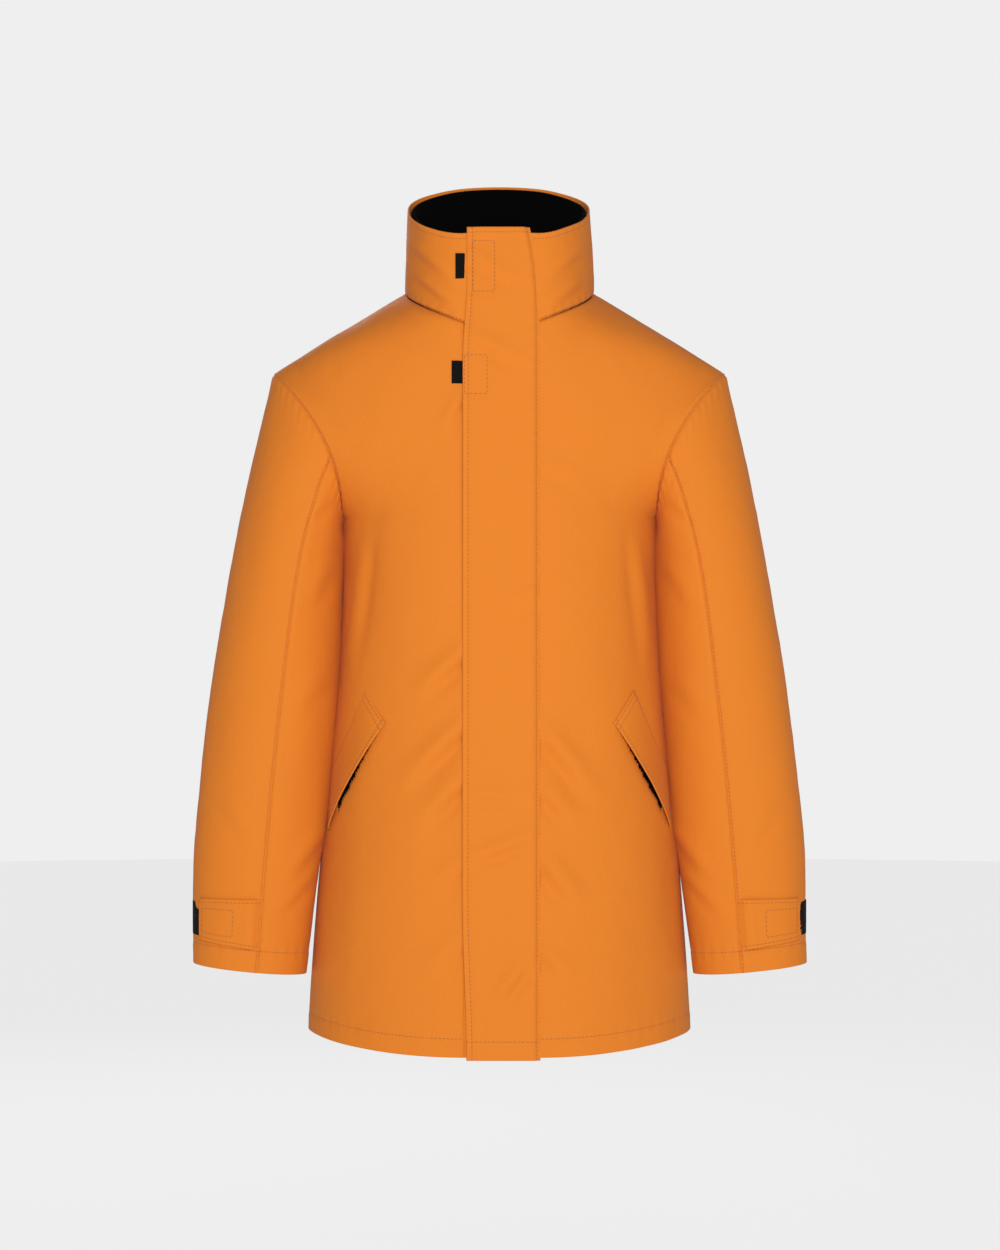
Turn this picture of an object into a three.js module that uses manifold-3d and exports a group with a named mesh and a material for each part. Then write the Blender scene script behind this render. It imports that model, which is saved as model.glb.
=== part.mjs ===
// A stand-collar work parka: shell, quilted lining, zip, storm flap, two-piece sleeves,
// cuff tabs and slanted welt pockets. Millimetres, +Z up, the front faces -Y, and the
// origin is the middle of the neck base, level with the high shoulder points.
// The coat's left side is +X. The right side is its mirror image.

import * as THREE from "three";
import { mergeVertices } from "three/addons/utils/BufferGeometryUtils.js";
import Module from "manifold-3d";

const wasm = await Module();
wasm.setup();

// ---- body sizes ----
const NECK_HALF = 104; // neck seam to centre, at the high shoulder point
const NECK_DROP = 43; // centre front neck below the high shoulder point
const NECK_RISE = 20; // centre back neck above it
const NECK_BACK = 88; // centre back neck behind the origin
const SHOULDER_HALF = 252;
const SHOULDER_DROP = 91;
const CHEST_HALF = 172;
const HEM_HALF = 212;
const UNDERARM_Z = -252;
const HEM_SIDE_Z = -821;
const HEM_FRONT_Z = -835;
const HEM_BACK_Z = -832;
const SIDE_FLARE = profile(0, 0.145, 0.44, 0.77, 1);
const BACK_LINE = profile(NECK_BACK, 123, 111, 133, 136);
const HIGH_POINT_START = 0.05; // the shoulder panels start this share along the seam

// ---- the flat front, which carries the zip and the storm flap ----
const FLAT_HALF = 38;
const FRONT_Y = -101; // at FRONT_Z
const FRONT_Z = -36;
const FRONT_LEAN = 0.0586; // forward per millimetre down
const ZIP_WINDOW = 7.5; // half the gap between the two fronts

// ---- fabric ----
const SHELL = 3;
const LINING = 6;
const SLEEVE_LINING = 4.5;
const COLLAR_LINING = 4;
const TOUCH = 0.3; // gap between pieces that touch
const PLY_GAP = 0.5; // gap between curved plies
const SEAM_TRIM = TOUCH / 2;
const LINING_NEAR = SHELL + PLY_GAP;
const MITRE = 0.6; // edge cut back per millimetre of depth, at the armhole
const SHOULDER_MITRE = 1; // and more on the sleeve where it turns over the shoulder point
const LINING_HEM = 32; // lining ends this far above the hem
const LINING_CUFF = 28;

// ---- collar ----
const RIM_HALF = 100;
const RIM_FRONT_Z = 57.5;
const RIM_BACK_Z = 129;
const RIM_BACK_Y = 75;
const COLLAR_LINING_DROP = 2.5;

// ---- sleeve, from the armhole (0) to the cuff (1) ----
const OUTER_X = profile(SHOULDER_HALF, 280, 304.5, 325, 338, 338.5);
const OUTER_Z = profile(-SHOULDER_DROP, -213, -343, -484, -620, -745);
const INNER_X = profile(CHEST_HALF + 3, 178, 182.5, 191, 201, 216.5);
const INNER_Z = profile(UNDERARM_Z, -318, -420, -522, -632, -757);
const SLEEVE_DEPTH = profile(76, 76, 72, 64, 54, 47);
const SLEEVE_FORWARD = profile(0, 4, 10, 17, 24, 30);
const ARMHOLE_BULGE = 22;
const BULGE_END = 0.4;
const FRONT_SEAM = 102; // degrees round the sleeve: 0 outside, 90 front, 180 inside
const BACK_SEAM = 250;

// ---- storm flap and its closures ----
const FLAP_SEAM_X = 44;
const FLAP_EDGE_X = -40;
const FLAP_RISE = 5; // above the collar's front rim
const FLAP_TOP_NARROWING = 11;
const FLAP_CURVE = 0.6; // share of the collar's height where the seam edge turns in
const FLAP_THICKNESS = 3;
const FLAP_RIB = 4; // turned seam allowance that seats the flap on the front
const FLAP_HEM_DROP = 3;
const HOOK = 0.8;
const LOOP = 0.9;
const PAD_STACK = TOUCH + LOOP + TOUCH + HOOK + TOUCH;
const PAD_WIDTH = 25;
const PAD_INSET = 3;
const HOOK_MARGIN = 4; // hook pad above and below its loop pad
const LOOP_SHOWS = 10; // loop pad beyond the flap's free edge
const COLLAR_PAD_Z = 20;
const COLLAR_PAD_HEIGHT = 28;
const CHEST_PAD_Z = -96;
const CHEST_PAD_HEIGHT = 25;

// ---- zip ----
const TAPE_WIDTH = 13;
const TAPE = 0.8;
const CHAIN_GAP = 1.6;
const CHAIN_WIDTH = 2.6;
const CHAIN = 2.4;
const ZIP_TOP_INSET = 9; // below the collar's rim
const ZIP_HEM_GAP = 45;
const STOP_LENGTH = 4;
const BOX_LENGTH = 9;
const PIN_LENGTH = 14;
const SLIDER_WIDTH = 13;
const SLIDER_LENGTH = 16;
const SLIDER_PLATE = 1.5;
const SLIDER_BRIDGE = 6;
const PULLER_WIDTH = 7;
const PULLER_LENGTH = 30;
const PULLER = 2;
const PULLER_HOLE = 2;

// ---- cuff tab ----
const TAB_START = FRONT_SEAM - 2;
const TAB_END = 22;
const TAB_SEAM_HEIGHT = 54;
const TAB_END_HEIGHT = 44;
const TAB_THICKNESS = 2;
const TAB_MIDDLE = 0.905; // along the sleeve
const TAB_RIB = 0.06; // share of the tab's length that is sewn down
const TAB_STEP = 0.01; // share over which it rises from there
const TAB_HOOK_ALONG = [0.45, 0.97];
const TAB_HOOK_ACROSS = [0.14, 0.86];
const CUFF_LOOP_HEIGHT = 36;
const CUFF_LOOP_START = 48;
const CUFF_LOOP_END = -62;

// ---- pocket: corners are (x, z) on the front panel ----
const WELT_TOP_OUTER = [147, -444];
const WELT_TOP_INNER = [123, -479];
const WELT_LOW_INNER = [188, -606];
const WELT_LOW_OUTER = [183, -533];
const WELT = 1.6;
const WELT_STANDOFF = 9;
const WELT_BOW = 0.7; // under 1 opens the free edge quickly from its ends
const WELT_CURL = 1.5; // over 1 keeps the sewn side flat
const SLIT_ENDS = [0.14, 0.84]; // along the welt
const SLIT_SIDES = [0.4, 0.86]; // across it, from the sewn edge
const SLIT_OVERCUT = 1.5;
const BAG_ANGLES = [16, 71]; // degrees round the front, 0 at the flat, 90 at the side
const BAG_Z = [-452, -690];
const BAG_WALL = 1.2;
const BAG_WALL_ANGLE = 0.6; // the side walls, in degrees
const BAG_GAP = 1; // behind the shell, whose facets dip below its true surface
const BAG_HOLLOW = 11;
const BAG_CLEAR_Z = 12; // the lining is still clear of the bag this far above and below it
const BAG_CLEAR_ANGLE = 6; // and this many degrees beside it

// ---- hanger loop ----
const HANGER_SPAN = 82;
const HANGER_BAND = 9;
const HANGER_SAG = 20;
const HANGER_RISE = 6; // its ends above the neck seam
const HANGER = 2;
const HANGER_GAP = 2.2; // in front of the lining's true curve, where the band's ends are sewn

// ---- materials ----
const fabricMaterial = (color, roughness) =>
  new THREE.MeshStandardMaterial({ color, roughness, metalness: 0 });
const ORANGE = fabricMaterial(0xe8862e, 0.75);
const BLACK_LINING = fabricMaterial(0x0a0a0b, 0.85);
const BLACK_FLEECE = fabricMaterial(0x050505, 0.95);
const BLACK_TAPE = fabricMaterial(0x1c1613, 0.8);
const BLACK_HOOK = fabricMaterial(0x20140f, 0.7);
const POCKETING = fabricMaterial(0x141414, 0.8);
const BLACK_METAL = new THREE.MeshStandardMaterial({ color: 0x17171a, roughness: 0.35, metalness: 0.8 });

// ---- maths ----

// A smooth function through values spaced evenly over 0 to 1.
function profile(...values) {
  const points = values.map((value, i) => new THREE.Vector2(i, value));
  const curve = new THREE.SplineCurve(points);
  return (share) => curve.getPoint(share).y;
}

const { lerp, clamp, smoothstep, degToRad } = THREE.MathUtils;
const point = (x, y, z) => new THREE.Vector3(x, y, z);
const steps = (from, to, count) => Array.from({ length: count + 1 }, (_, i) => lerp(from, to, i / count));
const leanY = (z) => FRONT_Y + (z - FRONT_Z) * FRONT_LEAN;

// ---- seam lines ----

// The shoulder seam, from the high shoulder point (0) to the shoulder point (1).
function shoulderSeam(share) {
  return point(lerp(NECK_HALF, SHOULDER_HALF, share), 0, -SHOULDER_DROP * share);
}

// The front neck seam, from the high shoulder point (0) round to the flat front (1).
function frontNeck(share) {
  const angle = degToRad(90 * share);
  const x = FLAT_HALF + (NECK_HALF - FLAT_HALF) * Math.cos(angle);
  return point(x, leanY(-NECK_DROP) * Math.sin(angle), -NECK_DROP * share);
}

// The back neck seam, from the high shoulder point (0) to the centre back (1).
function backNeck(share) {
  const angle = degToRad(90 * share);
  const x = share === 1 ? 0 : NECK_HALF * Math.cos(angle);
  return point(x, NECK_BACK * Math.sin(angle), NECK_RISE * share);
}

const sideHalf = (share) => lerp(CHEST_HALF, HEM_HALF, SIDE_FLARE(share));

// The sleeve's surface: share runs down the sleeve, angle is in degrees round it.
function sleevePoint(share, angle) {
  const turn = degToRad(angle);
  const out = (1 + Math.cos(turn)) / 2;
  const fade = clamp(1 - share / BULGE_END, 0, 1) ** 2;
  const x = lerp(INNER_X(share), OUTER_X(share), out) - ARMHOLE_BULGE * fade * Math.sin(turn) ** 2;
  const z = lerp(INNER_Z(share), OUTER_Z(share), out);
  return point(x, -SLEEVE_FORWARD(share) - SLEEVE_DEPTH(share) * Math.sin(turn), z);
}

// ---- body surfaces ----
// down runs 0 to 1 along the shoulder, 1 to 2 along the armhole and 2 to 3 down the side.
// across runs from the flat front, or from the centre back (0), to the seam (1).
const SHOULDER_ROWS = [HIGH_POINT_START, 0.25, 0.5, 0.75, 1];
const FRONT_ARMHOLE = [0, 20, 40, 60, 80, FRONT_SEAM, 120, 140, 160, 180];
const BACK_ARMHOLE = [0, 20, 40, 60, 80, 95, 360 - BACK_SEAM, 130, 155, 180];
const rowAt = (z) => 2 + (UNDERARM_Z - z) / (UNDERARM_Z - HEM_FRONT_Z);
const BAG_TOP_ROW = rowAt(BAG_Z[0] + BAG_CLEAR_Z);
const BAG_LOW_ROW = rowAt(BAG_Z[1] - BAG_CLEAR_Z);
const SIDE_ROWS = [...steps(2, BAG_TOP_ROW, 3), ...steps(BAG_TOP_ROW, BAG_LOW_ROW, 4).slice(1)];
const LINING_LAST_ROW = 3 - LINING_HEM / (UNDERARM_Z - HEM_FRONT_Z);
const LOW_ROWS = [lerp(BAG_LOW_ROW, LINING_LAST_ROW, 0.5), LINING_LAST_ROW, 3];
const BODY_COLUMNS = steps(0, 1, 9);

function bodyRows(isFront, last) {
  const armhole = (isFront ? FRONT_ARMHOLE : BACK_ARMHOLE).map((angle) => 1 + angle / 180);
  const rows = [...SHOULDER_ROWS, ...armhole.slice(1), ...SIDE_ROWS.slice(1), ...LOW_ROWS];
  return rows.filter((row) => row <= last);
}

// A row of the body: where it starts and ends, and the depth of the ellipse it follows.
function bodyRow(down, isFront) {
  const neck = isFront ? frontNeck : backNeck;
  const neckEnd = neck(1);
  const hemZ = isFront ? HEM_FRONT_Z : HEM_BACK_Z;
  const centre = (z) => {
    if (isFront) return point(FLAT_HALF, leanY(z), z);
    return point(0, BACK_LINE((neckEnd.z - z) / (neckEnd.z - hemZ)), z);
  };
  if (down <= 1) return { start: neck(down), end: shoulderSeam(down), depth: neckEnd.y, bend: 1 };
  if (down <= 2) {
    const start = centre(lerp(neckEnd.z, UNDERARM_Z, down - 1));
    const end = sleevePoint(0, (isFront ? 180 : -180) * (down - 1));
    return { start, end, depth: start.y, bend: 1 };
  }
  const share = down - 2;
  const start = centre(lerp(UNDERARM_Z, hemZ, share));
  const end = point(sideHalf(share) + underarmEase(share), 0, lerp(UNDERARM_Z, HEM_SIDE_Z, share));
  return { start, end, depth: start.y, bend: 2 };
}

// The side seam leaves the armhole's lowest point and falls back to the body's own width.
function underarmEase(share) {
  return (INNER_X(0) - CHEST_HALF) * (1 - smoothstep(share, 0, 0.12));
}

const bodySurface = (isFront) => (across, down) => {
  const { start, end, depth, bend } = bodyRow(down, isFront);
  const firstAngle = Math.acos(clamp(start.y / depth, -1, 1));
  const lastAngle = Math.acos(clamp(end.y / depth, -1, 1));
  const angle = lerp(firstAngle, lastAngle, across);
  const out = (Math.sin(angle) - Math.sin(firstAngle)) / (Math.sin(lastAngle) - Math.sin(firstAngle));
  return point(lerp(start.x, end.x, out), depth * Math.cos(angle), lerp(start.z, end.z, out ** bend));
};

const frontSurface = bodySurface(true);
const backSurface = bodySurface(false);

// A point on the front panel below the underarm, from its x and its height.
function frontAt(x, z) {
  const share = rowAt(z) - 2;
  const angle = Math.asin(clamp((x - FLAT_HALF) / (sideHalf(share) - FLAT_HALF), 0, 1));
  return frontByAngle(THREE.MathUtils.radToDeg(angle), z);
}

function frontByAngle(angle, z) {
  return frontSurface(angle / 90, rowAt(z));
}

// ---- the collar's surface ----
// round runs from one front edge (0), past the flat front, the high shoulder point and the
// centre back (0.5), to the other front edge (1).
const FLAT_ROUND = 0.08;
const SIDE_ROUND = 0.28;

// How far round one side a point is: x and y of a neck-shaped ring, and its turn from the
// side towards the front (up to 1) or the back (down to -1).
function collarRing(round, half, frontY, backY) {
  const side = Math.min(round, 1 - round);
  const sign = round <= 0.5 ? 1 : -1;
  if (side <= FLAT_ROUND) {
    const x = lerp(ZIP_WINDOW, FLAT_HALF, side / FLAT_ROUND);
    return { x: sign * x, y: frontY, turn: 1 };
  }
  if (side <= SIDE_ROUND) {
    const turn = (SIDE_ROUND - side) / (SIDE_ROUND - FLAT_ROUND);
    const angle = degToRad(90 * turn);
    const x = FLAT_HALF + (half - FLAT_HALF) * Math.cos(angle);
    return { x: sign * x, y: frontY * Math.sin(angle), turn };
  }
  const turn = (side - SIDE_ROUND) / (0.5 - SIDE_ROUND);
  const angle = degToRad(90 * turn);
  return { x: round === 0.5 ? 0 : sign * half * Math.cos(angle), y: backY * Math.sin(angle), turn: -turn };
}

function collarSurface(round, up) {
  const base = collarRing(round, NECK_HALF, leanY(-NECK_DROP), NECK_BACK);
  const baseZ = base.turn >= 0 ? -NECK_DROP * base.turn : -NECK_RISE * base.turn;
  const rim = collarRing(round, RIM_HALF, leanY(RIM_FRONT_Z), RIM_BACK_Y);
  const back = (rim.y - leanY(RIM_FRONT_Z)) / (RIM_BACK_Y - leanY(RIM_FRONT_Z));
  const rimPoint = point(rim.x, rim.y, lerp(RIM_FRONT_Z, RIM_BACK_Z, back));
  return point(base.x, base.y, baseZ).lerp(rimPoint, up);
}

// The collar's grid lines meet the ends of the body panels' rows.
function collarColumns(start) {
  const half = [
    start,
    ...[...SHOULDER_ROWS].reverse().map((turn) => lerp(SIDE_ROUND, FLAT_ROUND, turn)),
    SIDE_ROUND,
    ...SHOULDER_ROWS.map((turn) => lerp(SIDE_ROUND, 0.5, turn)),
  ];
  return [...half, ...half.slice(0, -1).reverse().map((round) => 1 - round)];
}

// ---- making cloth ----

function derivative(surface, u, v, alongU, bounds) {
  const step = 1e-3;
  const shift = (value, [low, high]) => [Math.max(value - step, low), Math.min(value + step, high)];
  const [low, high] = alongU ? shift(u, bounds.u) : shift(v, bounds.v);
  const before = alongU ? surface(low, v) : surface(u, low);
  const after = alongU ? surface(high, v) : surface(u, high);
  return after.sub(before).divideScalar(high - low);
}

// A closed sheet between two depths behind a surface. columns and rows are its grid lines.
// Each border is trimmed by trim, and by its mitre more for each millimetre of depth.
// A border on the plane x = 0 stays there, so that it can be joined to its mirror image.
function sheet(surface, { columns, rows, near, far, facing = 1, mitre = {}, trim = SEAM_TRIM }) {
  const bounds = {
    u: [Math.min(...columns), Math.max(...columns)],
    v: [Math.min(...rows), Math.max(...rows)],
  };
  const lastColumn = columns.length - 1;
  const lastRow = rows.length - 1;
  const signU = Math.sign(columns[lastColumn] - columns[0]);
  const signV = Math.sign(rows[lastRow] - rows[0]);
  const place = (column, row, depthOf) => {
    let u = columns[column];
    let v = rows[row];
    const depth = typeof depthOf === "function" ? depthOf(u, v) : depthOf;
    const mitreAt = (side) => (typeof mitre[side] === "function" ? mitre[side](u, v) : (mitre[side] ?? 0));
    const cut = (side) => trim + mitreAt(side) * Math.max(depth, 0);
    const lengthU = derivative(surface, u, v, true, bounds).length();
    const lengthV = derivative(surface, u, v, false, bounds).length();
    const onCentre = surface(u, v).x === 0;
    if (column === 0 && !onCentre) u += (cut("start") * signU) / lengthU;
    if (column === lastColumn && !onCentre) u -= (cut("end") * signU) / lengthU;
    if (row === 0) v += (cut("top") * signV) / lengthV;
    if (row === lastRow) v -= (cut("bottom") * signV) / lengthV;
    if (onCentre && v === 1) v += cut("top") / lengthV;
    const tangentU = derivative(surface, u, v, true, bounds);
    const tangentV = derivative(surface, u, v, false, bounds);
    const normal = tangentU.cross(tangentV).normalize().multiplyScalar(facing);
    if (onCentre) normal.setX(0).normalize();
    const result = surface(u, v).addScaledVector(normal, -depth);
    return onCentre ? result.setX(0) : result;
  };
  const points = [near, far].flatMap((depthOf) =>
    rows.flatMap((_, row) => columns.map((__, column) => place(column, row, depthOf))),
  );
  const at = (layer, column, row) => (layer * rows.length + row) * columns.length + column;
  const index = [];
  const quad = (a, b, c, d) => index.push(a, b, c, a, c, d);
  for (let row = 0; row < lastRow; row++)
    for (let column = 0; column < lastColumn; column++) {
      const corners = (layer) => [
        at(layer, column, row),
        at(layer, column + 1, row),
        at(layer, column + 1, row + 1),
        at(layer, column, row + 1),
      ];
      const [a, b, c, d] = corners(1);
      quad(...corners(0));
      index.push(a, c, b, a, d, c);
    }
  // The rim: one strip of quads from the near layer to the far one, along each border.
  const strip = (near1, near2, far2, far1) => quad(near1, far1, far2, near2);
  for (let row = 0; row < lastRow; row++)
    for (const [column, from, to] of [[0, row + 1, row], [lastColumn, row, row + 1]])
      strip(at(0, column, from), at(0, column, to), at(1, column, to), at(1, column, from));
  for (let column = 0; column < lastColumn; column++)
    for (const [row, from, to] of [[0, column, column + 1], [lastRow, column + 1, column]])
      strip(at(0, from, row), at(0, to, row), at(1, to, row), at(1, from, row));
  const geometry = new THREE.BufferGeometry().setFromPoints(points);
  geometry.setIndex(index);
  return faceOutward(geometry);
}

function signedVolume(geometry) {
  const { position } = geometry.attributes;
  const [a, b, c] = [point(), point(), point()];
  let volume = 0;
  for (let i = 0; i < geometry.index.count; i += 3) {
    a.fromBufferAttribute(position, geometry.index.getX(i));
    b.fromBufferAttribute(position, geometry.index.getX(i + 1));
    c.fromBufferAttribute(position, geometry.index.getX(i + 2));
    volume += a.dot(b.cross(c));
  }
  return volume;
}

function faceOutward(geometry) {
  if (signedVolume(geometry) > 0) return geometry;
  const { index } = geometry;
  for (let i = 0; i < index.count; i += 3) {
    const second = index.getX(i + 1);
    index.setX(i + 1, index.getX(i + 2));
    index.setX(i + 2, second);
  }
  return geometry;
}

function toSolid(geometry) {
  const bare = geometry.clone();
  bare.deleteAttribute("normal");
  bare.deleteAttribute("uv");
  const merged = mergeVertices(bare, 1e-4);
  return new wasm.Manifold(
    new wasm.Mesh({
      numProp: 3,
      vertProperties: new Float32Array(merged.attributes.position.array),
      triVerts: new Uint32Array(merged.index.array),
    }),
  );
}

function toGeometry(solid) {
  const { vertProperties, triVerts } = solid.getMesh();
  const geometry = new THREE.BufferGeometry();
  geometry.setAttribute("position", new THREE.BufferAttribute(new Float32Array(vertProperties), 3));
  geometry.setIndex(new THREE.BufferAttribute(new Uint32Array(triVerts), 1));
  return geometry;
}

const joined = (...parts) => toGeometry(parts.map(toSolid).reduce((whole, part) => whole.add(part)));
const cutBy = (part, tool) => toGeometry(toSolid(part).subtract(toSolid(tool)));

function mirrored(geometry) {
  const copy = geometry.clone();
  copy.scale(-1, 1, 1);
  return faceOutward(copy);
}

function piece(name, geometry, material) {
  const mesh = new THREE.Mesh(geometry, material);
  mesh.name = name;
  return mesh;
}

// ---- body panels ----

function frontShell() {
  const panel = sheet(frontSurface, {
    columns: BODY_COLUMNS,
    rows: bodyRows(true, 3),
    near: 0,
    far: SHELL,
    facing: -1,
    mitre: { end: MITRE },
  });
  return cutBy(panel, pocketSlit());
}

function backPiece(near, far, lastRow) {
  const half = sheet(backSurface, {
    columns: BODY_COLUMNS,
    rows: bodyRows(false, lastRow),
    near,
    far,
    facing: 1,
    mitre: { end: MITRE },
  });
  return joined(half, mirrored(half));
}

// ---- pocket ----

function weltSurface(along, across) {
  const corner = ([x, z]) => new THREE.Vector2(x, z);
  const sewn = corner(WELT_TOP_OUTER).lerp(corner(WELT_LOW_OUTER), along);
  const free = corner(WELT_TOP_INNER).lerp(corner(WELT_LOW_INNER), along);
  const place = sewn.lerp(free, across);
  return frontAt(place.x, place.y);
}

// The welt lies flat along its sewn edge and ends, and its free edge bows away from the coat.
function pocketWelt() {
  const lift = (along, across) => {
    const bow = Math.sin(Math.PI * along) ** WELT_BOW;
    return TOUCH + WELT_STANDOFF * bow * across ** WELT_CURL;
  };
  return sheet(weltSurface, {
    columns: steps(0, 1, 8),
    rows: steps(0, 1, 3),
    near: (u, v) => -lift(u, v) - WELT,
    far: (u, v) => -lift(u, v),
    facing: -1,
    trim: 0,
  });
}

function pocketSlit() {
  return sheet(weltSurface, {
    columns: steps(...SLIT_ENDS, 6),
    rows: SLIT_SIDES,
    near: -SLIT_OVERCUT,
    far: SHELL + SLIT_OVERCUT,
    facing: -1,
    trim: 0,
  });
}

const bagNear = SHELL + BAG_GAP;
const bagFar = bagNear + BAG_HOLLOW + BAG_WALL;

// A tray between shell and lining, open towards the slit.
function pocketBag() {
  const bagBlock = (wallAngle, wall, near, far) =>
    sheet(frontByAngle, {
      columns: steps(BAG_ANGLES[0] + wallAngle, BAG_ANGLES[1] - wallAngle, 5),
      rows: steps(BAG_Z[0] - wall, BAG_Z[1] + wall, 4),
      near,
      far,
      facing: 1,
      trim: 0,
    });
  const outer = bagBlock(0, 0, bagNear, bagFar);
  const hollow = bagBlock(BAG_WALL_ANGLE, BAG_WALL, bagNear - BAG_GAP, bagNear + BAG_HOLLOW);
  return cutBy(outer, hollow);
}

// ---- linings ----

// The front lining stands off the shell where the pocket bag hangs between them.
function frontLiningDepth(across, down) {
  const angle = 90 * across;
  const above = smoothstep(down, 2, BAG_TOP_ROW);
  const below = 1 - smoothstep(down, BAG_LOW_ROW, 3);
  const inside = smoothstep(angle, 0, BAG_ANGLES[0] - BAG_CLEAR_ANGLE);
  const outside = 1 - smoothstep(angle, BAG_ANGLES[1] + BAG_CLEAR_ANGLE, 90);
  return LINING_NEAR + (bagFar + BAG_GAP - LINING_NEAR) * above * below * inside * outside;
}

function frontLining() {
  return sheet(frontSurface, {
    columns: BODY_COLUMNS,
    rows: bodyRows(true, LINING_LAST_ROW),
    near: frontLiningDepth,
    far: (u, v) => frontLiningDepth(u, v) + LINING,
    facing: -1,
    mitre: { end: MITRE },
  });
}

// ---- sleeve ----

const SLEEVE_LENGTH = Math.hypot(OUTER_X(1) - OUTER_X(0), OUTER_Z(1) - OUTER_Z(0));
const LINING_LAST_SHARE = 1 - LINING_CUFF / SLEEVE_LENGTH;
const SLEEVE_ROWS = [0, 0.05, 0.12, 0.2, 0.3, 0.4, 0.5, 0.6, 0.7, 0.8, TAB_MIDDLE, LINING_LAST_SHARE, 1];

function sleevePiece(angles, near, far, lastRow) {
  const rows = SLEEVE_ROWS.filter((row) => row <= lastRow);
  return sheet((angle, share) => sleevePoint(share, angle), {
    columns: angles,
    rows,
    near,
    far,
    facing: 1,
    mitre: { top: (angle) => MITRE + SHOULDER_MITRE * Math.max(Math.cos(degToRad(angle)), 0) ** 8 },
  });
}

const BACK_TURNS = [...BACK_ARMHOLE].reverse();
const UPPER_ANGLES = [
  ...BACK_TURNS.filter((angle) => angle > 0 && angle <= 360 - BACK_SEAM).map((angle) => -angle),
  ...FRONT_ARMHOLE.filter((angle) => angle <= FRONT_SEAM),
];
const UNDER_ANGLES = [
  ...FRONT_ARMHOLE.filter((angle) => angle >= FRONT_SEAM),
  ...BACK_TURNS.filter((angle) => angle >= 360 - BACK_SEAM && angle < 180).map((angle) => 360 - angle),
];

// ---- cuff tab ----
// Its surface runs from the front seam (0) to the free end (1), and from its top (0) to its bottom (1).
function cuffBand(startAngle, endAngle, startHeight, endHeight) {
  return (along, down) => {
    const angle = lerp(startAngle, endAngle, along);
    const height = lerp(startHeight, endHeight, along);
    return sleevePoint(TAB_MIDDLE + ((down - 0.5) * height) / SLEEVE_LENGTH, angle);
  };
}

const tabSurface = cuffBand(TAB_START, TAB_END, TAB_SEAM_HEIGHT, TAB_END_HEIGHT);

function cuffTab() {
  return sheet(tabSurface, {
    columns: [0, TAB_RIB, ...steps(TAB_RIB + TAB_STEP, 1, 6)],
    rows: steps(0, 1, 2),
    near: -PAD_STACK - TAB_THICKNESS,
    far: (along) => (along <= TAB_RIB ? -TOUCH : -PAD_STACK),
    facing: -1,
    trim: 0,
  });
}

function cuffTabHook() {
  return sheet(tabSurface, {
    columns: steps(...TAB_HOOK_ALONG, 4),
    rows: TAB_HOOK_ACROSS,
    near: -PAD_STACK + TOUCH,
    far: -PAD_STACK + TOUCH + HOOK,
    facing: -1,
    trim: 0,
  });
}

function cuffLoopStrip() {
  return sheet(cuffBand(CUFF_LOOP_START, CUFF_LOOP_END, CUFF_LOOP_HEIGHT, CUFF_LOOP_HEIGHT), {
    columns: steps(0, 1, 14),
    rows: [0, 1],
    near: -TOUCH - LOOP,
    far: -TOUCH,
    facing: -1,
    trim: 0,
  });
}

// ---- pieces on the flat front ----
// Local axes of the placket group: X across, Y up the lean, Z outwards from the shell's face.

const leanLength = Math.hypot(1, FRONT_LEAN);
const upFor = (z) => (z - FRONT_Z) * leanLength;
const RIM_UP = upFor(RIM_FRONT_Z);
const HEM_UP = upFor(HEM_FRONT_Z);

function slab(outline, back, front) {
  const shape = outline instanceof THREE.Shape ? outline : new THREE.Shape(outline);
  const depth = front - back;
  const geometry = new THREE.ExtrudeGeometry(shape, { depth, bevelEnabled: false, curveSegments: 6 });
  geometry.translate(0, 0, back);
  return mergeVertices(geometry.deleteAttribute("uv").deleteAttribute("normal"), 1e-4);
}

function rectangle(left, right, bottom, top) {
  return [
    new THREE.Vector2(left, bottom),
    new THREE.Vector2(right, bottom),
    new THREE.Vector2(right, top),
    new THREE.Vector2(left, top),
  ];
}

function block(left, right, bottom, top, back, front) {
  return slab(rectangle(left, right, bottom, top), back, front);
}

// The outline of the flap, or of the rib at its seam: straight down the body, with the
// seam edge curving in up the collar.
function flapOutline(leftX) {
  const top = RIM_UP + FLAP_RISE;
  const bottom = HEM_UP - FLAP_HEM_DROP;
  const shape = new THREE.Shape();
  const neckUp = upFor(-NECK_DROP);
  shape.moveTo(leftX, bottom);
  shape.lineTo(FLAP_SEAM_X, bottom);
  shape.lineTo(FLAP_SEAM_X, neckUp);
  const curveUp = lerp(neckUp, top, FLAP_CURVE);
  const seamTop = FLAP_SEAM_X - FLAP_TOP_NARROWING;
  shape.quadraticCurveTo(FLAP_SEAM_X, curveUp, seamTop, top);
  if (leftX === FLAP_EDGE_X) {
    shape.lineTo(leftX, top);
  } else {
    shape.lineTo(seamTop - FLAP_RIB, top);
    shape.quadraticCurveTo(leftX, curveUp, leftX, neckUp);
  }
  return shape;
}

function stormFlap() {
  const cloth = slab(flapOutline(FLAP_EDGE_X), PAD_STACK, PAD_STACK + FLAP_THICKNESS);
  const rib = slab(flapOutline(FLAP_SEAM_X - FLAP_RIB), TOUCH, PAD_STACK + TOUCH);
  return joined(cloth, rib);
}

const CHAIN_BACK = -SHELL - TOUCH - (TAPE + CHAIN) / 2;
const CHAIN_FRONT = CHAIN_BACK + CHAIN;
const ZIP_BOTTOM = HEM_UP + ZIP_HEM_GAP;
const ZIP_TOP = RIM_UP - ZIP_TOP_INSET;
const CHAIN_BOTTOM = ZIP_BOTTOM + PIN_LENGTH;
const CHAIN_TOP = ZIP_TOP - STOP_LENGTH - TOUCH;
const chainInner = CHAIN_GAP / 2;
const chainOuter = chainInner + CHAIN_WIDTH;

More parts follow.
